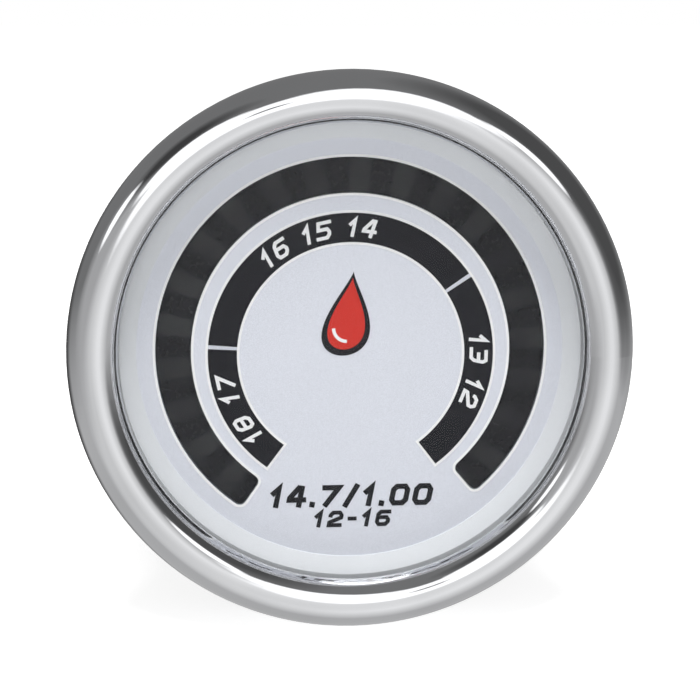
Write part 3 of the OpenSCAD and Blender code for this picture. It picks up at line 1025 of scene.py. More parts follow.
class PrintLayer:
    """A layer on the dial, for print and for painted highlights: flat outlines given a thin film's
    thickness.

    Attributes:
        SHARPEST: the least cosine at a mitre, which keeps sharp corners short.
        front_mm: how far its face stands before the panel's plane.
        film_mm: the film's thickness.
        lift_mm: how much higher than the face the next outline lies.
        corners: the outlines' corners: across, up and lift.
        faces: the outlines, as the numbers of their corners.
    """

    SHARPEST = 0.35

    def __init__(self, front_mm: float, film_mm: float) -> None:
        """Starts an empty layer.

        Args:
            front_mm: how far its face stands before the panel's plane.
            film_mm: the film's thickness.
        """
        self.front_mm = front_mm
        self.film_mm = film_mm
        self.lift_mm = 0.0
        self.corners: list[Corner] = []
        self.faces: list[tuple[int, ...]] = []

    def patch(self, outline: Sequence[Point]) -> None:
        """Adds a flat outline.

        Args:
            outline: its corners, anticlockwise as seen from the front.
        """
        first = len(self.corners)
        self.corners.extend((x, y, self.lift_mm) for x, y in outline)
        self.faces.append(tuple(range(first, first + len(outline))))

    def line(self, path: Sequence[Point], width: float, closed: bool = False,
             cap: float = 0.0) -> None:
        """Adds a line of even width along a path, mitred at its corners.

        Args:
            path: the points along its middle.
            width: the line's width.
            closed: whether its end joins its start.
            cap: how far an open line runs past its first and last points.
        """
        if cap and not closed:
            path = self._longer(path, cap)
        first = len(self.corners)
        count = len(path)
        for index, here in enumerate(path):
            back = path[index - 1] if closed or index else None
            ahead = path[(index + 1) % count] if closed or index < count - 1 else None
            mitre = self._mitre(back, here, ahead, width / 2)
            for side in (1, -1):
                self.corners.append((here[0] + side * mitre[0], here[1] + side * mitre[1],
                                     self.lift_mm))
        for index in range(count if closed else count - 1):
            near = first + 2 * index
            far = first + 2 * ((index + 1) % count)
            self.faces.append((near + 1, far + 1, far, near))

    @staticmethod
    def _longer(path: Sequence[Point], cap: float) -> list[Point]:
        """Runs both ends of a path on.

        Args:
            path: the path's points.
            cap: the length to add at each end.

        Returns:
            The longer path.
        """
        ends = []
        for end, inner in ((path[0], path[1]), (path[-1], path[-2])):
            step = Vector((end[0] - inner[0], end[1] - inner[1])).normalized() * cap
            ends.append((end[0] + step.x, end[1] + step.y))
        return [ends[0], *path[1:-1], ends[1]]

    @classmethod
    def _mitre(cls, back: Optional[Point], here: Point, ahead: Optional[Point],
               half: float) -> Point:
        """Finds the step from a path's point to the line's left edge.

        Args:
            back: the point before, or None at the start.
            here: the point itself.
            ahead: the point after, or None at the end.
            half: half the line's width.

        Returns:
            The step across and up, no longer than the sharpest corner allows.
        """
        steps = []
        for start, end in ((back, here), (here, ahead)):
            if start is not None and end is not None:
                steps.append(Vector((end[0] - start[0], end[1] - start[1])).normalized())
        along = sum(steps, Vector((0.0, 0.0))).normalized()
        side = Vector((-along.y, along.x))
        straight = Vector((-steps[0].y, steps[0].x))
        reach = half / max(cls.SHARPEST, side.dot(straight))
        return (side.x * reach, side.y * reach)

    def mesh(self, name: str) -> bpy.types.Mesh:
        """Builds the layer as closed thin solids.

        Args:
            name: the mesh's name.

        Returns:
            The mesh, in metres.
        """
        front = [(x * MM, -(self.front_mm + lift) * MM, y * MM) for x, y, lift in self.corners]
        back = [(x, y + self.film_mm * MM, z) for x, y, z in front]
        count = len(front)
        edges = {edge for face in self.faces for edge in self._edges(face)}
        skin: list[tuple[int, ...]] = []
        for face in self.faces:
            skin.append(face)
            skin.append(tuple(corner + count for corner in reversed(face)))
            skin.extend((end, start, start + count, end + count)
                        for start, end in self._edges(face) if (end, start) not in edges)
        mesh = bpy.data.meshes.new(name)
        mesh.from_pydata(front + back, [], skin)
        return mesh

    @staticmethod
    def _edges(face: tuple[int, ...]) -> list[tuple[int, int]]:
        """Returns a face's edges, each from corner to corner in its own sense."""
        return list(zip(face, face[1:] + face[:1]))


# How much of a round figure's corner is cut off, in a box of size 1.
CUT = 0.2
# Whether a figure's first stroke closes, and its strokes in a box of size 1.
GLYPHS: dict[str, tuple[bool, tuple[tuple[Point, ...], ...]]] = {
    "0": (True, (((CUT, 0), (1 - CUT, 0), (1, CUT), (1, 1 - CUT), (1 - CUT, 1), (CUT, 1),
                  (0, 1 - CUT), (0, CUT)),)),
    "1": (False, (((0.1, 0.72), (0.62, 1), (0.62, 0)),)),
    "2": (False, (((0, 0.78), (0, 1 - CUT), (CUT, 1), (1 - CUT, 1), (1, 1 - CUT), (1, 0.6),
                   (0, 0.22), (0, 0), (1, 0)),)),
    "3": (False, (((0, 1), (1 - CUT, 1), (1, 1 - CUT), (1, CUT), (1 - CUT, 0), (0, 0)),
                  ((0.35, 0.5), (0.9, 0.5)))),
    "4": (False, (((0.74, 0), (0.74, 1)), ((0.5, 1), (0, 0.42), (0, 0.3), (1, 0.3)))),
    "5": (False, (((1, 1), (0, 1), (0, 0.56), (1 - CUT, 0.56), (1, 0.56 - CUT), (1, CUT),
                   (1 - CUT, 0), (0, 0)),)),
    "6": (True, (((CUT, 0), (1 - CUT, 0), (1, CUT), (1, 0.56 - CUT), (1 - CUT, 0.56), (0, 0.56),
                  (0, CUT)), ((0.95, 1), (CUT, 1), (0, 1 - CUT), (0, 0.5)))),
    "7": (False, (((0, 1), (1, 1), (0.3, 0)),)),
    "8": (True, (((CUT, 0), (1 - CUT, 0), (1, CUT), (1, 1 - CUT), (1 - CUT, 1), (CUT, 1),
                  (0, 1 - CUT), (0, CUT)), ((0.1, 0.5), (0.9, 0.5)))),
    "/": (False, (((0.1, -0.05), (0.9, 1.05)),)),
    "-": (False, (((0.15, 0.5), (0.85, 0.5)),)),
    ".": (False, (((0.5, -0.01), (0.5, 0.01)),)),
    " ": (False, ()),
}
# How wide the narrow figures are, as a share of a full one.
NARROW_SHARES = {"1": 0.72, ".": 0.32, "/": 0.75, " ": 0.5, "-": 0.75}


@dataclass(frozen=True)
class Figures:
    """A slanted, squared-off style of figures, drawn with strokes.

    Attributes:
        height_mm: the height of a figure.
        width_mm: the width of a full figure.
        stroke_mm: the width of its strokes.
        gap_mm: the gap between figures.
        slant: how far the top leans over, as a share of the height.
        lift_mm: how much higher each further stroke of a figure lies, where strokes cross.
    """

    height_mm: float
    width_mm: float
    stroke_mm: float
    gap_mm: float
    slant: float = 0.2
    lift_mm: float = 0.006

    def advance(self, figure: str) -> float:
        """Returns the width that a figure takes, without the gap."""
        return self.width_mm * NARROW_SHARES.get(figure, 1.0)

    def length(self, text: str) -> float:
        """Returns the length of a row of figures."""
        return sum(map(self.advance, text)) + self.gap_mm * (len(text) - 1)

    def strokes(self, figure: str) -> Iterator[tuple[list[Point], bool]]:
        """Yields a figure's strokes.

        Args:
            figure: the character.

        Yields:
            A stroke's points from the figure's lower left corner, and whether it closes.
        """
        wide = self.advance(figure) - self.stroke_mm
        tall = self.height_mm - self.stroke_mm
        closes, paths = GLYPHS[figure]
        for index, path in enumerate(paths):
            points = []
            for across, up in path:
                high = up * tall + self.stroke_mm / 2
                lean = self.slant * (high - self.height_mm / 2)
                points.append((across * wide + self.stroke_mm / 2 + lean, high))
            yield points, closes and index == 0

    def write(self, layer: PrintLayer, text: str, set_at: Callable[[float], Place]) -> None:
        """Writes a row of figures, centred.

        Args:
            layer: the layer that takes the strokes.
            text: the figures.
            set_at: given a figure's middle along the row, returns the function that turns a
                point of the figure, measured from its middle, into one on the dial.
        """
        along = -self.length(text) / 2
        for figure in text:
            wide = self.advance(figure)
            place = set_at(along + wide / 2)
            for index, (points, closed) in enumerate(self.strokes(figure)):
                moved = [place(x - wide / 2, y - self.height_mm / 2) for x, y in points]
                layer.lift_mm = index * self.lift_mm
                layer.line(moved, self.stroke_mm, closed, self.stroke_mm / 2)
            along += wide + self.gap_mm


@dataclass(frozen=True)
class Sector:
    """A piece of a flat ring, the outline of the arc window and of the zone band.

    Attributes:
        in_mm: its inner radius.
        out_mm: its outer radius.
        start_deg: where it starts, clockwise from six o'clock.
        end_deg: where it ends.
        corner_mm: the radius of its corners, or 0 where they are sharp.
        drop_mm: how far its centre lies below the gauge's axis.
        arc_steps: how many parts each long arc has.
        corner_steps: how many parts each corner has.
        least_mm: the least distance between two of its points.
    """

    in_mm: float
    out_mm: float
    start_deg: float
    end_deg: float
    corner_mm: float = 0.0
    drop_mm: float = 0.0
    arc_steps: int = 90
    corner_steps: int = 5
    least_mm: float = 1e-5

    def grown(self, by_mm: float) -> "Sector":
        """Moves every edge out.

        Args:
            by_mm: how far.

        Returns:
            The larger sector.
        """
        turn = math.degrees(by_mm / self.out_mm)
        corner = self.corner_mm + by_mm if self.corner_mm else 0.0
        return Sector(self.in_mm - by_mm, self.out_mm + by_mm, self.start_deg - turn,
                      self.end_deg + turn, corner, self.drop_mm)

    def path(self) -> list[Point]:
        """Draws the closed path round the sector.

        Returns:
            Its points, anticlockwise as seen from the front.
        """
        low, high = on_dial(self.end_deg), on_dial(self.start_deg)
        points = self._rounded(low, high) if self.corner_mm else self._sharp(low, high)
        kept = [point for index, point in enumerate(points)
                if math.dist(point, points[index - 1]) > self.least_mm]
        return [(x, y - self.drop_mm) for x, y in kept]

    def across(self, degrees: float) -> list[Point]:
        """Returns the straight path from the inner to the outer edge at a place."""
        ends = [polar(radius, on_dial(degrees)) for radius in (self.in_mm, self.out_mm)]
        return [(x, y - self.drop_mm) for x, y in ends]

    def _sharp(self, low: float, high: float) -> list[Point]:
        """Draws the path between two angles, with sharp corners.

        Args:
            low: the lower angle, in radians.
            high: the higher angle.

        Returns:
            The points: the outer arc and the inner arc.
        """
        middle = (0.0, 0.0)
        return (arc(middle, self.out_mm, low, high, self.arc_steps)
                + arc(middle, self.in_mm, high, low, self.arc_steps))

    def _rounded(self, low: float, high: float) -> list[Point]:
        """Draws the path between two angles, with round corners.

        Args:
            low: the lower angle, in radians.
            high: the higher angle.

        Returns:
            The points: the outer arc, two corners, the inner arc and two corners.
        """
        middle = (0.0, 0.0)
        corner, steps = self.corner_mm, self.corner_steps
        far, near = self.out_mm - corner, self.in_mm + corner
        turn_far, turn_near = math.asin(corner / far), math.asin(corner / near)
        quarter, half = math.pi / 2, math.pi
        outer_high, inner_high = high - turn_far, high - turn_near
        outer_low, inner_low = low + turn_far, low + turn_near
        return (
            arc(middle, self.out_mm, outer_low, outer_high, self.arc_steps)
            + arc(polar(far, outer_high), corner, outer_high, high + quarter, steps)
            + arc(polar(near, inner_high), corner, high + quarter, inner_high + half, steps)
            + arc(middle, self.in_mm, inner_high, inner_low, self.arc_steps)
            + arc(polar(near, inner_low), corner, inner_low + half, low + 3 * quarter, steps)
            + arc(polar(far, outer_low), corner, low - quarter, outer_low, steps))


@dataclass(frozen=True)
class Drop:
    """The plain fuel drop on the dial: dark behind, red before, with a light glint.

    Attributes:
        at_mm: the drop's middle.
        size_mm: its width and height.
        lean_mm: how far its tip leans to the right.
        taper: how slowly its sides come together at the tip.
        belly: how much its width is raised to make up for the taper.
        rim_mm: how far the dark shape stands out round it.
        inset_mm: how far the red shape stays inside it.
        glint_at_mm: the centre of the glint's curve, from the drop's middle.
        glint_r_mm: the radius of that curve.
        glint_deg: where it starts and ends, anticlockwise from the right.
        glint_mm: the glint's width.
        glint_steps: how many parts the glint has.
        steps: how many points its outline has.
    """

    at_mm: Point = (-0.3, 4.0)
    size_mm: Point = (4.6, 7.6)
    lean_mm: float = 1.0
    taper: float = 1.6
    belly: float = 1.25
    rim_mm: float = 0.55
    inset_mm: float = 0.1
    glint_at_mm: Point = (-0.15, -1.5)
    glint_r_mm: float = 1.35
    glint_deg: tuple[float, float] = (180.0, 270.0)
    glint_mm: float = 0.34
    glint_steps: int = 9
    steps: int = 48

    def outline(self, grow_mm: float) -> list[Point]:
        """Draws a falling drop.

        Args:
            grow_mm: how far its edge lies outside the drop's own size.

        Returns:
            The points, anticlockwise.
        """
        wide, tall = self.size_mm
        path = []
        for index in range(self.steps):
            turn = FULL_TURN * (index + 0.5) / self.steps
            high = math.cos(turn) * (tall / 2 + grow_mm)
            across = -math.sin(turn) * math.sin(turn / 2) ** self.taper * self.belly
            path.append((self.at_mm[0] + across * (wide / 2 + grow_mm)
                         + self.lean_mm * high / tall, self.at_mm[1] + high))
        return path

    def add(self, face_mm: float, film_mm: float) -> None:
        """Adds the drop's three layers.

        Args:
            face_mm: the height of the dial's face.
            film_mm: the thickness of each layer.
        """
        dark = PrintLayer(face_mm + film_mm, film_mm)
        dark.patch(self.outline(self.rim_mm))
        piece("drop_shadow", dark.mesh("drop_shadow"), FIGURE_BLACK)
        red = PrintLayer(face_mm + 2 * film_mm, film_mm)
        red.patch(self.outline(-self.inset_mm))
        piece("drop_red", red.mesh("drop_red"), DROP_RED)
        light = PrintLayer(face_mm + 3 * film_mm, film_mm)
        centre = (self.at_mm[0] + self.glint_at_mm[0], self.at_mm[1] + self.glint_at_mm[1])
        start, end = map(math.radians, self.glint_deg)
        light.line(arc(centre, self.glint_r_mm, start, end, self.glint_steps), self.glint_mm)
        piece("drop_glint", light.mesh("drop_glint"), LINE_WHITE)


@dataclass(frozen=True)
class Assembly:
    """A group of the gauge's pieces that are put together before the rest.

    Attributes:
        finishes: the group's CAD nodes, each with its finish.
    """

    finishes: Dressing = ()

    def dress(self) -> None:
        """Gives each node its finish, then adds the group's own pieces."""
        for name, finish in self.finishes:
            paint(name, finish)
        self.add_pieces()

    def add_pieces(self) -> None:
        """Adds nothing, because a plain group has no pieces of its own."""


@dataclass(frozen=True)
class Bezel(Assembly):
    """The bright rim, with the glass and the seal that it clamps."""

    finishes: Dressing = (
        ("bezel", CHROME), ("lens", GLASS), ("lens_gasket", SEAL))


@dataclass(frozen=True)
class Dial(Assembly):
    """The dial plate with its print, the painted highlights round its window and zone band, and
    the arc window in it.

    Attributes:
        face_mm: the height of the dial's face over the panel's plane.
        film_mm: the thickness of a layer of print.
        band_film_mm: the height of the zone band over the dial's face.
        window: the arc window's outline.
        band: the zone band's outline.
        line_mm: the width of the pale lines round both, a painted highlight that stands in for
            their bright edges.
        zone_line_mm: the width of the lines between zones.
        zone_lines_deg: where the zones meet, clockwise from six o'clock.
        zone_figures: the figures on the band, each row with its place.
        zone_style: the style of these figures.
        zone_figure_r_mm: the radius on which they stand.
        lower_rows: the rows at the foot of the dial: text, style and middle.
        drop: the fuel drop.
    """

    finishes: Dressing = (
        ("dial_plate", DIAL_SILVER), ("zone_band", BAND_INK), ("arc_window", SMOKE),
        ("reveal_ring", RING))
    face_mm: float = 2.1
    film_mm: float = 0.03
    band_film_mm: float = 0.06
    window: Sector = Sector(in_mm=16.3, out_mm=19.9, start_deg=35.0, end_deg=319.6, corner_mm=0.7)
    band: Sector = Sector(in_mm=11.65, out_mm=14.6, start_deg=36.7, end_deg=323.0, drop_mm=0.3)
    line_mm: float = 0.26
    zone_line_mm: float = 0.234
    zone_lines_deg: tuple[float, float] = (95.4, 237.6)
    zone_figures: tuple[tuple[str, float], ...] = (
        ("18 17", 64.5), ("16 15 14", 164.5), ("13 12", 278.0))
    zone_style: Figures = Figures(height_mm=1.9, width_mm=1.5, stroke_mm=0.36, gap_mm=0.46)
    zone_figure_r_mm: float = 13.12
    lower_rows: tuple[tuple[str, Figures, Point], ...] = (
        ("14.7/1.00", Figures(height_mm=2.35, width_mm=2.02, stroke_mm=0.56, gap_mm=0.40),
         (0.0, -15.25)),
        ("12-16", Figures(height_mm=1.78, width_mm=1.56, stroke_mm=0.42, gap_mm=0.38),
         (0.1, -17.75)))
    drop: Drop = Drop()

    def add_pieces(self) -> None:
        """Adds the print, and the painted edge highlights round the window and the zone band."""
        self.add_zone_lines_and_painted_highlights()
        self.add_zone_figures()
        self.add_lower_figures()
        self.drop.add(self.face_mm, self.film_mm)

    def add_zone_lines_and_painted_highlights(self) -> None:
        """Adds the pale lines round the window and the zone band, a painted highlight on their
        edges, and the printed lines between zones.
        """
        layer = PrintLayer(self.face_mm + self.film_mm, self.film_mm)
        # Painted highlight: pale lines that stand in for the bright edges of the window and the
        # zone band.
        for sector in (self.window, self.band):
            layer.line(sector.grown(self.line_mm / 2).path(), self.line_mm, closed=True)
        for degrees in self.zone_lines_deg:
            layer.line(self.band.across(degrees), self.zone_line_mm)
        piece("zone_lines_and_painted_edge_highlights", layer.mesh("zone_lines_and_painted_edge_highlights"), LINE_WHITE)

    def on_band(self, row_deg: float, middle: float) -> Place:
        """Finds where a figure of a bent row lies.

        Args:
            row_deg: the row's middle, clockwise from six o'clock.
            middle: the figure's middle along the row, in millimetres.

        Returns:
            The function that turns a point of the figure into one on the dial.
        """
        angle = on_dial(row_deg) - middle / self.zone_figure_r_mm
        out = polar(1.0, angle)
        along = (math.sin(angle), -math.cos(angle))

        def place(x: float, y: float) -> Point:
            """Sets a point of the upright figure down on the band.

            Args:
                x: how far it lies to the right of the figure's middle.
                y: how far it lies above that.

            Returns:
                The point on the dial.
            """
            reach = self.zone_figure_r_mm + y
            return (reach * out[0] + x * along[0],
                    reach * out[1] + x * along[1] - self.band.drop_mm)

        return place

    def add_zone_figures(self) -> None:
        """Adds the light figures on the dark zone band."""
        layer = PrintLayer(self.face_mm + self.band_film_mm + self.film_mm, self.film_mm)
        for text, degrees in self.zone_figures:
            self.zone_style.write(layer, text, partial(self.on_band, degrees))
        piece("zone_figures", layer.mesh("zone_figures"), FIGURE_WHITE)

    @staticmethod
    def in_row(row: Point, middle: float) -> Place:
        """Finds where a figure of a straight row lies.

        Args:
            row: the row's middle.
            middle: the figure's middle along the row.

        Returns:
            The function that turns a point of the figure into one on the dial.
        """
        return lambda x, y: (row[0] + middle + x, row[1] + y)

    def add_lower_figures(self) -> None:
        """Adds the two rows of dark figures at the foot of the dial."""
        layer = PrintLayer(self.face_mm + self.film_mm, self.film_mm)
        for text, style, row in self.lower_rows:
            style.write(layer, text, partial(self.in_row, row))
        piece("lower_figures", layer.mesh("lower_figures"), FIGURE_BLACK)


@dataclass(frozen=True)
class Lamps(Assembly):
    """The lamp cells behind the window, the boards that drive them, and the dial's bulb."""

    finishes: Dressing = (
        ("led_baffle", BAFFLE), ("lean_leds", LED_RED), ("stoich_leds", LED_AMBER),
        ("rich_leds", LED_GREEN), ("light_guide", GUIDE), ("display_board", BOARD),
        ("driver_board", BOARD), ("board_spacers", TURNED_METAL), ("board_screws", SCREW_ZINC),
        ("header_pins", BRASS), ("driver_chips", CHIP), ("capacitor", SLEEVE),
        ("voltage_regulator", TAB_EPOXY), ("resistors", LACQUER), ("diode", DIODE),
        ("brightness_trimmer", TRIMMER), ("lead_connector", NYLON), ("lamp_bulb", BULB))


@dataclass(frozen=True)
class Housing(Assembly):
    """The case, the lead's grommet and the lamp's socket."""

    finishes: Dressing = (
        ("case", CASE_PLASTIC), ("lead_grommet", GROMMET), ("lamp_socket", SOCKET))


@dataclass(frozen=True)
class ThreadedStud:
    """A headed stud with a real thread on its free length.

    Attributes:
        across_mm: its distance from the gauge's axis, along X.
        thread_r_mm: the radius over the thread's crests.
        root_r_mm: the radius at the thread's roots.
        pitch_mm: the thread's pitch.
        flank_slope: how steeply the thread's flanks rise.
        root_width: how wide the root is, against the flanks.
        head_r_mm: the radius of the head.
        head_mm: the head's thickness.
        head_edge_mm: the size of the bevel on the head's edge.
        collar_r_mm: the radius of the collar behind the case.
        collar_mm: the collar's thickness.
        collar_edge_mm: the size of the bevel on the collar's edge.
        tip_mm: the size of the bevel at the tip.
        segments: how many parts each ring has.
        steps_per_turn: how many rings each turn of the thread has.
    """

    across_mm: float
    thread_r_mm: float = 2.083
    root_r_mm: float = 1.63
    pitch_mm: float = 0.794
    flank_slope: float = 2.6
    root_width: float = 0.55
    head_r_mm: float = 4.0
    head_mm: float = 2.0
    head_edge_mm: float = 0.25
    collar_r_mm: float = 3.2
    collar_mm: float = 1.0
    collar_edge_mm: float = 0.2
    tip_mm: float = 0.6
    segments: int = 40
    steps_per_turn: int = 6

    def radius(self, along: float, angle: float, start: float, end: float) -> float:
        """Finds the thread's radius at a place.

        Args:
            along: the place along the stud, in millimetres.
            angle: the angle round it, in radians.
            start: where the thread starts.
            end: where the stud ends.

        Returns:
            The radius, in millimetres.
        """
        phase = (along / self.pitch_mm - angle / FULL_TURN) % 1.0
        rise = self.flank_slope * abs(2 * phase - 1) - self.root_width
        crest = max(0.0, min(1.0, rise))
        fade = max(0.0, min(1.0, (along - start) / self.pitch_mm))
        full = self.thread_r_mm - (self.thread_r_mm - self.root_r_mm) * (1 - crest) * fade
        return min(full, self.thread_r_mm - self.tip_mm + (end - along))

    def plain_rings(self, head: float, case_back: float) -> list[Point]:
        """Lists the rings before the thread.

        Args:
            head: where the head's front face is, in millimetres.
            case_back: where the case's back is.

        Returns:
            Each ring's place along the stud and its radius.
        """
        head_back = head + self.head_mm
        collar_end = case_back + self.collar_mm
        return [(head, self.head_r_mm - self.head_edge_mm),
                (head + self.head_edge_mm, self.head_r_mm),
                (head_back, self.head_r_mm),
                (head_back, self.thread_r_mm),
                (case_back, self.thread_r_mm),
                (case_back, self.collar_r_mm),
                (collar_end - self.collar_edge_mm, self.collar_r_mm),
                (collar_end, self.collar_r_mm - self.collar_edge_mm),
                (collar_end, self.thread_r_mm)]

    def rings(self, head: float, case_back: float, end: float) -> list[list[Corner]]:
        """Lists the rings of points from the head to the tip.

        Args:
            head: where the head's front face is, in millimetres.
            case_back: where the case's back is.
            end: where the stud ends.

        Returns:
            One list of points for each ring, in metres.
        """
        turns = [FULL_TURN * index / self.segments for index in range(self.segments)]
        made = [[self.point(radius, along, angle) for angle in turns]
                for along, radius in self.plain_rings(head, case_back)]
        start = case_back + self.collar_mm
        count = int((end - start) / (self.pitch_mm / self.steps_per_turn))
        for index in range(1, count + 1):
            along = start + (end - start) * index / count
            made.append([self.point(self.radius(along, angle, start, end), along, angle)
                         for angle in turns])
        return made

    def point(self, radius: float, along: float, angle: float) -> Corner:
        """Returns a point on the stud in the gauge's frame, in metres."""
        across, up = polar(radius, angle)
        return ((self.across_mm + across) * MM, along * MM, up * MM)

    def build(self, work: bmesh.types.BMesh, head: float, case_back: float, end: float) -> None:
        """Adds the stud to a bmesh as one closed skin.

        Args:
            work: the bmesh.
            head: where the head's front face is, in millimetres.
            case_back: where the case's back is.
            end: where the stud ends.
        """
        rings = [[work.verts.new(point) for point in ring]
                 for ring in self.rings(head, case_back, end)]
        for near, far in zip(rings, rings[1:]):
            for index in range(self.segments):
                ahead = (index + 1) % self.segments
                work.faces.new((near[index], far[index], far[ahead], near[ahead]))
        work.faces.new(rings[0])
        work.faces.new(rings[-1][::-1])


@dataclass(frozen=True)
class Mounting(Assembly):
    """What holds the gauge in its panel: studs, strap, washers and nuts."""

    finishes: Dressing = (
        ("clamp_bracket", STRAP_ZINC), ("lock_washers", SPRING_STEEL), ("nut_left", NUT_ZINC),
        ("nut_right", NUT_ZINC), ("mounting_studs", STUD_ZINC))

    def add_pieces(self) -> None:
        """Adds the two threaded studs in place of the smooth ones."""
        low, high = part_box("mounting_studs")
        _, case_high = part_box("case")
        across = (high[0] - low[0]) / 2 / MM - ThreadedStud.head_r_mm
        work = bmesh.new()
        for side in Side:
            stud = ThreadedStud(side.value * across)
            stud.build(work, low[1] / MM, case_high[1] / MM, high[1] / MM)
        bmesh.ops.recalc_face_normals(work, faces=work.faces)
        studs = piece("threaded_studs", finished(work, "threaded_studs"), STUD_ZINC)
        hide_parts("mounting_studs")


@dataclass(frozen=True)
class View:
    """The camera's place, at the photograph's viewing angle.

    Attributes:
        azimuth_deg: the angle round the gauge, from straight in front towards +X.
        elevation_deg: the angle above the gauge's axis.
        distance_mm: the distance from the point aimed at.
        aim_mm: the point aimed at.
        focal_mm: the lens's focal length.
        sensor_mm: the sensor's width.
        far: the furthest that the camera sees.
    """

    azimuth_deg: float = -4.0
    elevation_deg: float = 11.8
    distance_mm: float = 155.0
    aim_mm: Corner = (-0.45, -7.0, 1.22)
    focal_mm: float = 80.5
    sensor_mm: float = 36.0
    far: float = 100.0

    def out(self) -> Vector:
        """Finds the direction from the gauge to the camera.

        Returns:
            A vector of length 1.
        """
        azimuth, elevation = math.radians(self.azimuth_deg), math.radians(self.elevation_deg)
        return Vector((math.cos(elevation) * math.sin(azimuth),
                       -math.cos(elevation) * math.cos(azimuth), math.sin(elevation)))


@dataclass(frozen=True)
class TentPanel:
    """A round part of the light tent that is brighter or darker than the rest.

    Attributes:
        around_deg: its direction round the view's axis, from the right towards the top.
        off_deg: how far it lies from the direction of the camera.
        half_deg: half its width.
        soft_deg: how wide its edge fades.
        level: its brightness, where 1 is white.
    """

    around_deg: float
    off_deg: float
    half_deg: float
    soft_deg: float
    level: float

    def direction(self, view: View) -> Vector:
        """Finds the panel's direction from the gauge.

        Args:
            view: the view that it is placed from.

        Returns:
            A vector of length 1.
        """
        out = view.out()
        right = Vector((0.0, 0.0, 1.0)).cross(out).normalized()
        up = out.cross(right)
        around, off = math.radians(self.around_deg), math.radians(self.off_deg)
        side = right * math.cos(around) + up * math.sin(around)
        return out * math.cos(off) + side * math.sin(off)


@dataclass(frozen=True)
class TentCloth(Finish):
    """The tent's cloth: an even glow with soft round panels.

    Attributes:
        view: the view that the panels are placed from.
        level: the cloth's own brightness, where 1 is white.
        panels: the panels, each over the ones before.
        nearly_one: the largest cosine that still has an angle.
    """

    view: View = View()
    level: float = 0.24
    panels: tuple[TentPanel, ...] = (
        TentPanel(272, 92, 68, 30, 0.60),
        TentPanel(290, 34, 18, 34, 1.15),
        TentPanel(235, 34, 10, 26, 0.85),
        TentPanel(185, 140, 16, 22, 0.09),
        TentPanel(182, 42, 12, 22, 0.55),
        TentPanel(2, 62, 6, 16, 0.20),
        TentPanel(30, 80, 26, 24, 0.10),
        TentPanel(140, 44, 8, 14, 0.07),
        TentPanel(75, 168, 16, 8, 1.75),
        TentPanel(90, 0, 15, 4, 1.75),
        TentPanel(45, 18, 13, 4, 1.75),
        TentPanel(20, 38, 7, 3, 1.75),
        TentPanel(150, 20, 9, 3, 1.75),
        TentPanel(162, 52, 6, 3, 1.75),
        TentPanel(90, 0, 1.6, 1.2, 0.15),
    )
    nearly_one: float = 0.999999

    def make(self, graph: Graph) -> Socket:
        """Builds the cloth.

        Args:
            graph: the material's empty tree.

        Returns:
            The glow.
        """
        aim = graph.node("ShaderNodeVectorMath", operation="NORMALIZE")
        graph.feed(aim.inputs[0], graph.place)
        level: object = self.level
        for panel in self.panels:
            near = graph.node("ShaderNodeVectorMath", operation="DOT_PRODUCT")
            graph.feed(near.inputs[0], aim.outputs["Vector"])
            graph.feed(near.inputs[1], tuple(panel.direction(self.view)))
            cosine = graph.sum(Sum.SMALLER, near.outputs["Value"], self.nearly_one)
            share = graph.spread(graph.sum(Sum.ANGLE, cosine), 1.0, 0.0,
                                 start=math.radians(panel.half_deg),
                                 end=math.radians(panel.half_deg + panel.soft_deg))
            level = graph.mixed(share, level, panel.level, Blend.NUMBERS)
        return graph.glow(level)


@dataclass(frozen=True)
class FloorPaper(Finish):
    """Pale paper that shows white and keeps the gauge's shadow.

    Attributes:
        pale: the colour of its palest fibres.
        fibre_mm: the size of the fibres.
        rough: its roughness.
        shown: the glow added to it where it is seen.
    """

    pale: Colour = shade(0.74, 0.74, 0.74)
    fibre_mm: float = 2.0
    rough: float = 0.9
    shown: float = 0.80

    def make(self, graph: Graph) -> Socket:
        """Builds the paper.

        Args:
            graph: the material's empty tree.

        Returns:
            The shader.
        """
        paper = graph.principled(
            Base_Color=graph.mixed(graph.noise(self.fibre_mm), self.colour, self.pale),
            Roughness=self.rough,
            Specular_IOR_Level=0.0)
        seen = graph.rays(Ray.CAMERA, Ray.TRANSMISSION, Ray.GLOSSY)
        both = graph.node("ShaderNodeAddShader")
        graph.feed(both.inputs[0], paper)
        graph.feed(both.inputs[1], graph.glow(graph.sum(Sum.TIMES, seen, self.shown)))
        return both.outputs["Shader"]


@dataclass(frozen=True)
class SoftLamp:
    """A round soft lamp that shines at the gauge.

    Attributes:
        name: the lamp's name.
        place: where it hangs.
        size: its diameter.
        watts: its power.
    """

    name: str
    place: Corner
    size: float
    watts: float

    def hang(self) -> None:
        """Adds the lamp, hidden from polished surfaces."""
        data = bpy.data.lights.new(self.name, "AREA")
        data.shape = "DISK"
        data.size = self.size
        data.energy = self.watts
        lamp = put(self.name, data)
        lamp.location = self.place
        lamp.rotation_euler = (-Vector(self.place)).to_track_quat("-Z", "Y").to_euler()
        lamp.visible_glossy = False


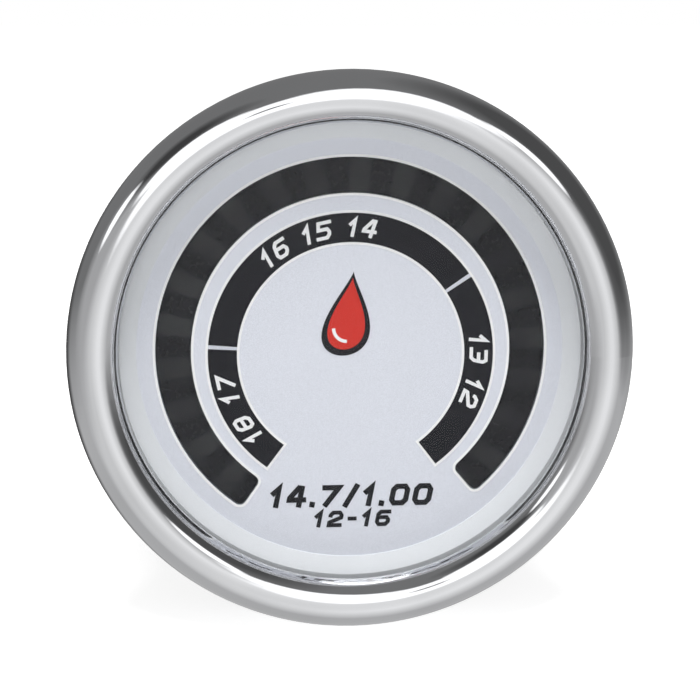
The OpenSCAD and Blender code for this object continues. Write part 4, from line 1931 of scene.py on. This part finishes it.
@dataclass(frozen=True)
class Studio:
    """The floor, the tent that polished metal mirrors, the lamps and the camera.

    Attributes:
        view: the camera's place.
        floor_mm: the floor's height, at the bezel's lowest point.
        floor_half: half the floor's width.
        paper: the floor's finish.
        tent_radius: the tent's radius.
        tent_divisions: how often the tent's faces are divided.
        tent_hidden_from: the kinds of ray that pass through the tent unseen.
        cloth: the tent's finish.
        ambient: how strongly the white surround lights plain surfaces.
        lamps: the lamps.
    """

    view: View = View()
    floor_mm: float = -28.6
    floor_half: float = 30.0
    paper: FloorPaper = FloorPaper("floor_paper", shade(0.70, 0.70, 0.70))
    tent_radius: float = 0.17
    tent_divisions: int = 4
    tent_hidden_from: tuple[str, ...] = ("camera", "diffuse", "transmission", "shadow",
                                         "volume_scatter")
    cloth: TentCloth = TentCloth("tent_cloth", shade(1.0, 1.0, 1.0))
    ambient: float = 0.36
    lamps: tuple[SoftLamp, ...] = (
        SoftLamp("lamp_above", (0.0, -0.28, 0.80), size=0.4, watts=6.0),
        SoftLamp("lamp_below", (-0.1, -0.55, -0.01), size=0.3, watts=0.25),
        SoftLamp("lamp_front", (-0.15, -0.9, 0.1), size=0.5, watts=0.6))

    def build(self) -> None:
        """Sets up the whole studio, which shows colours as they are."""
        bpy.context.scene.view_settings.view_transform = "Standard"
        self.add_camera()
        self.add_world()
        self.add_floor()
        self.add_tent()
        for lamp in self.lamps:
            lamp.hang()
        LOG.info("studio: %d lamps and %d tent panels", len(self.lamps), len(self.cloth.panels))

    def add_camera(self) -> None:
        """Adds the camera at the photograph's angle."""
        data = bpy.data.cameras.new("camera")
        data.lens = self.view.focal_mm
        data.sensor_width = self.view.sensor_mm
        data.clip_end = self.view.far
        camera = put("camera", data)
        out = self.view.out()
        camera.location = Vector(self.view.aim_mm) * MM + out * self.view.distance_mm * MM
        camera.rotation_euler = (-out).to_track_quat("-Z", "Y").to_euler()
        bpy.context.scene.camera = camera

    def add_world(self) -> None:
        """Adds a white surround that lights plain surfaces more softly than it shows."""
        world = bpy.data.worlds.new("surround")
        bpy.context.scene.world = world
        world.use_nodes = True
        graph = Graph(world.node_tree)
        back = world.node_tree.nodes["Background"]
        graph.feed(back.inputs["Color"], shade(1.0, 1.0, 1.0))
        seen = graph.rays(Ray.CAMERA, Ray.TRANSMISSION, Ray.GLOSSY)
        graph.feed(back.inputs["Strength"], graph.spread(seen, self.ambient, 1.0))

    def add_floor(self) -> None:
        """Adds the pale floor, which polished surfaces do not mirror."""
        half = self.floor_half
        level = self.floor_mm * MM
        mesh = bpy.data.meshes.new("floor")
        mesh.from_pydata([(-half, -half, level), (half, -half, level), (half, half, level),
                          (-half, half, level)], [], [(0, 1, 2, 3)])
        mesh.materials.append(self.paper.material())
        floor = put("floor", mesh)
        floor.visible_glossy = False

    def add_tent(self) -> None:
        """Adds the tent, a dome that only polished surfaces mirror."""
        work = bmesh.new()
        bmesh.ops.create_icosphere(work, subdivisions=self.tent_divisions,
                                   radius=self.tent_radius)
        mesh = finished(work, "tent")
        mesh.materials.append(self.cloth.material())
        tent = put("tent", mesh)
        for ray in self.tent_hidden_from:
            setattr(tent, f"visible_{ray}", False)


def main() -> None:
    """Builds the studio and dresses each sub-assembly."""
    logging.basicConfig(level=logging.INFO, format="%(name)s: %(message)s")
    Studio().build()
    for part in (Bezel(), Dial(), Lamps(), Housing(), Mounting()):
        part.dress()


if __name__ == "__main__":
    main()
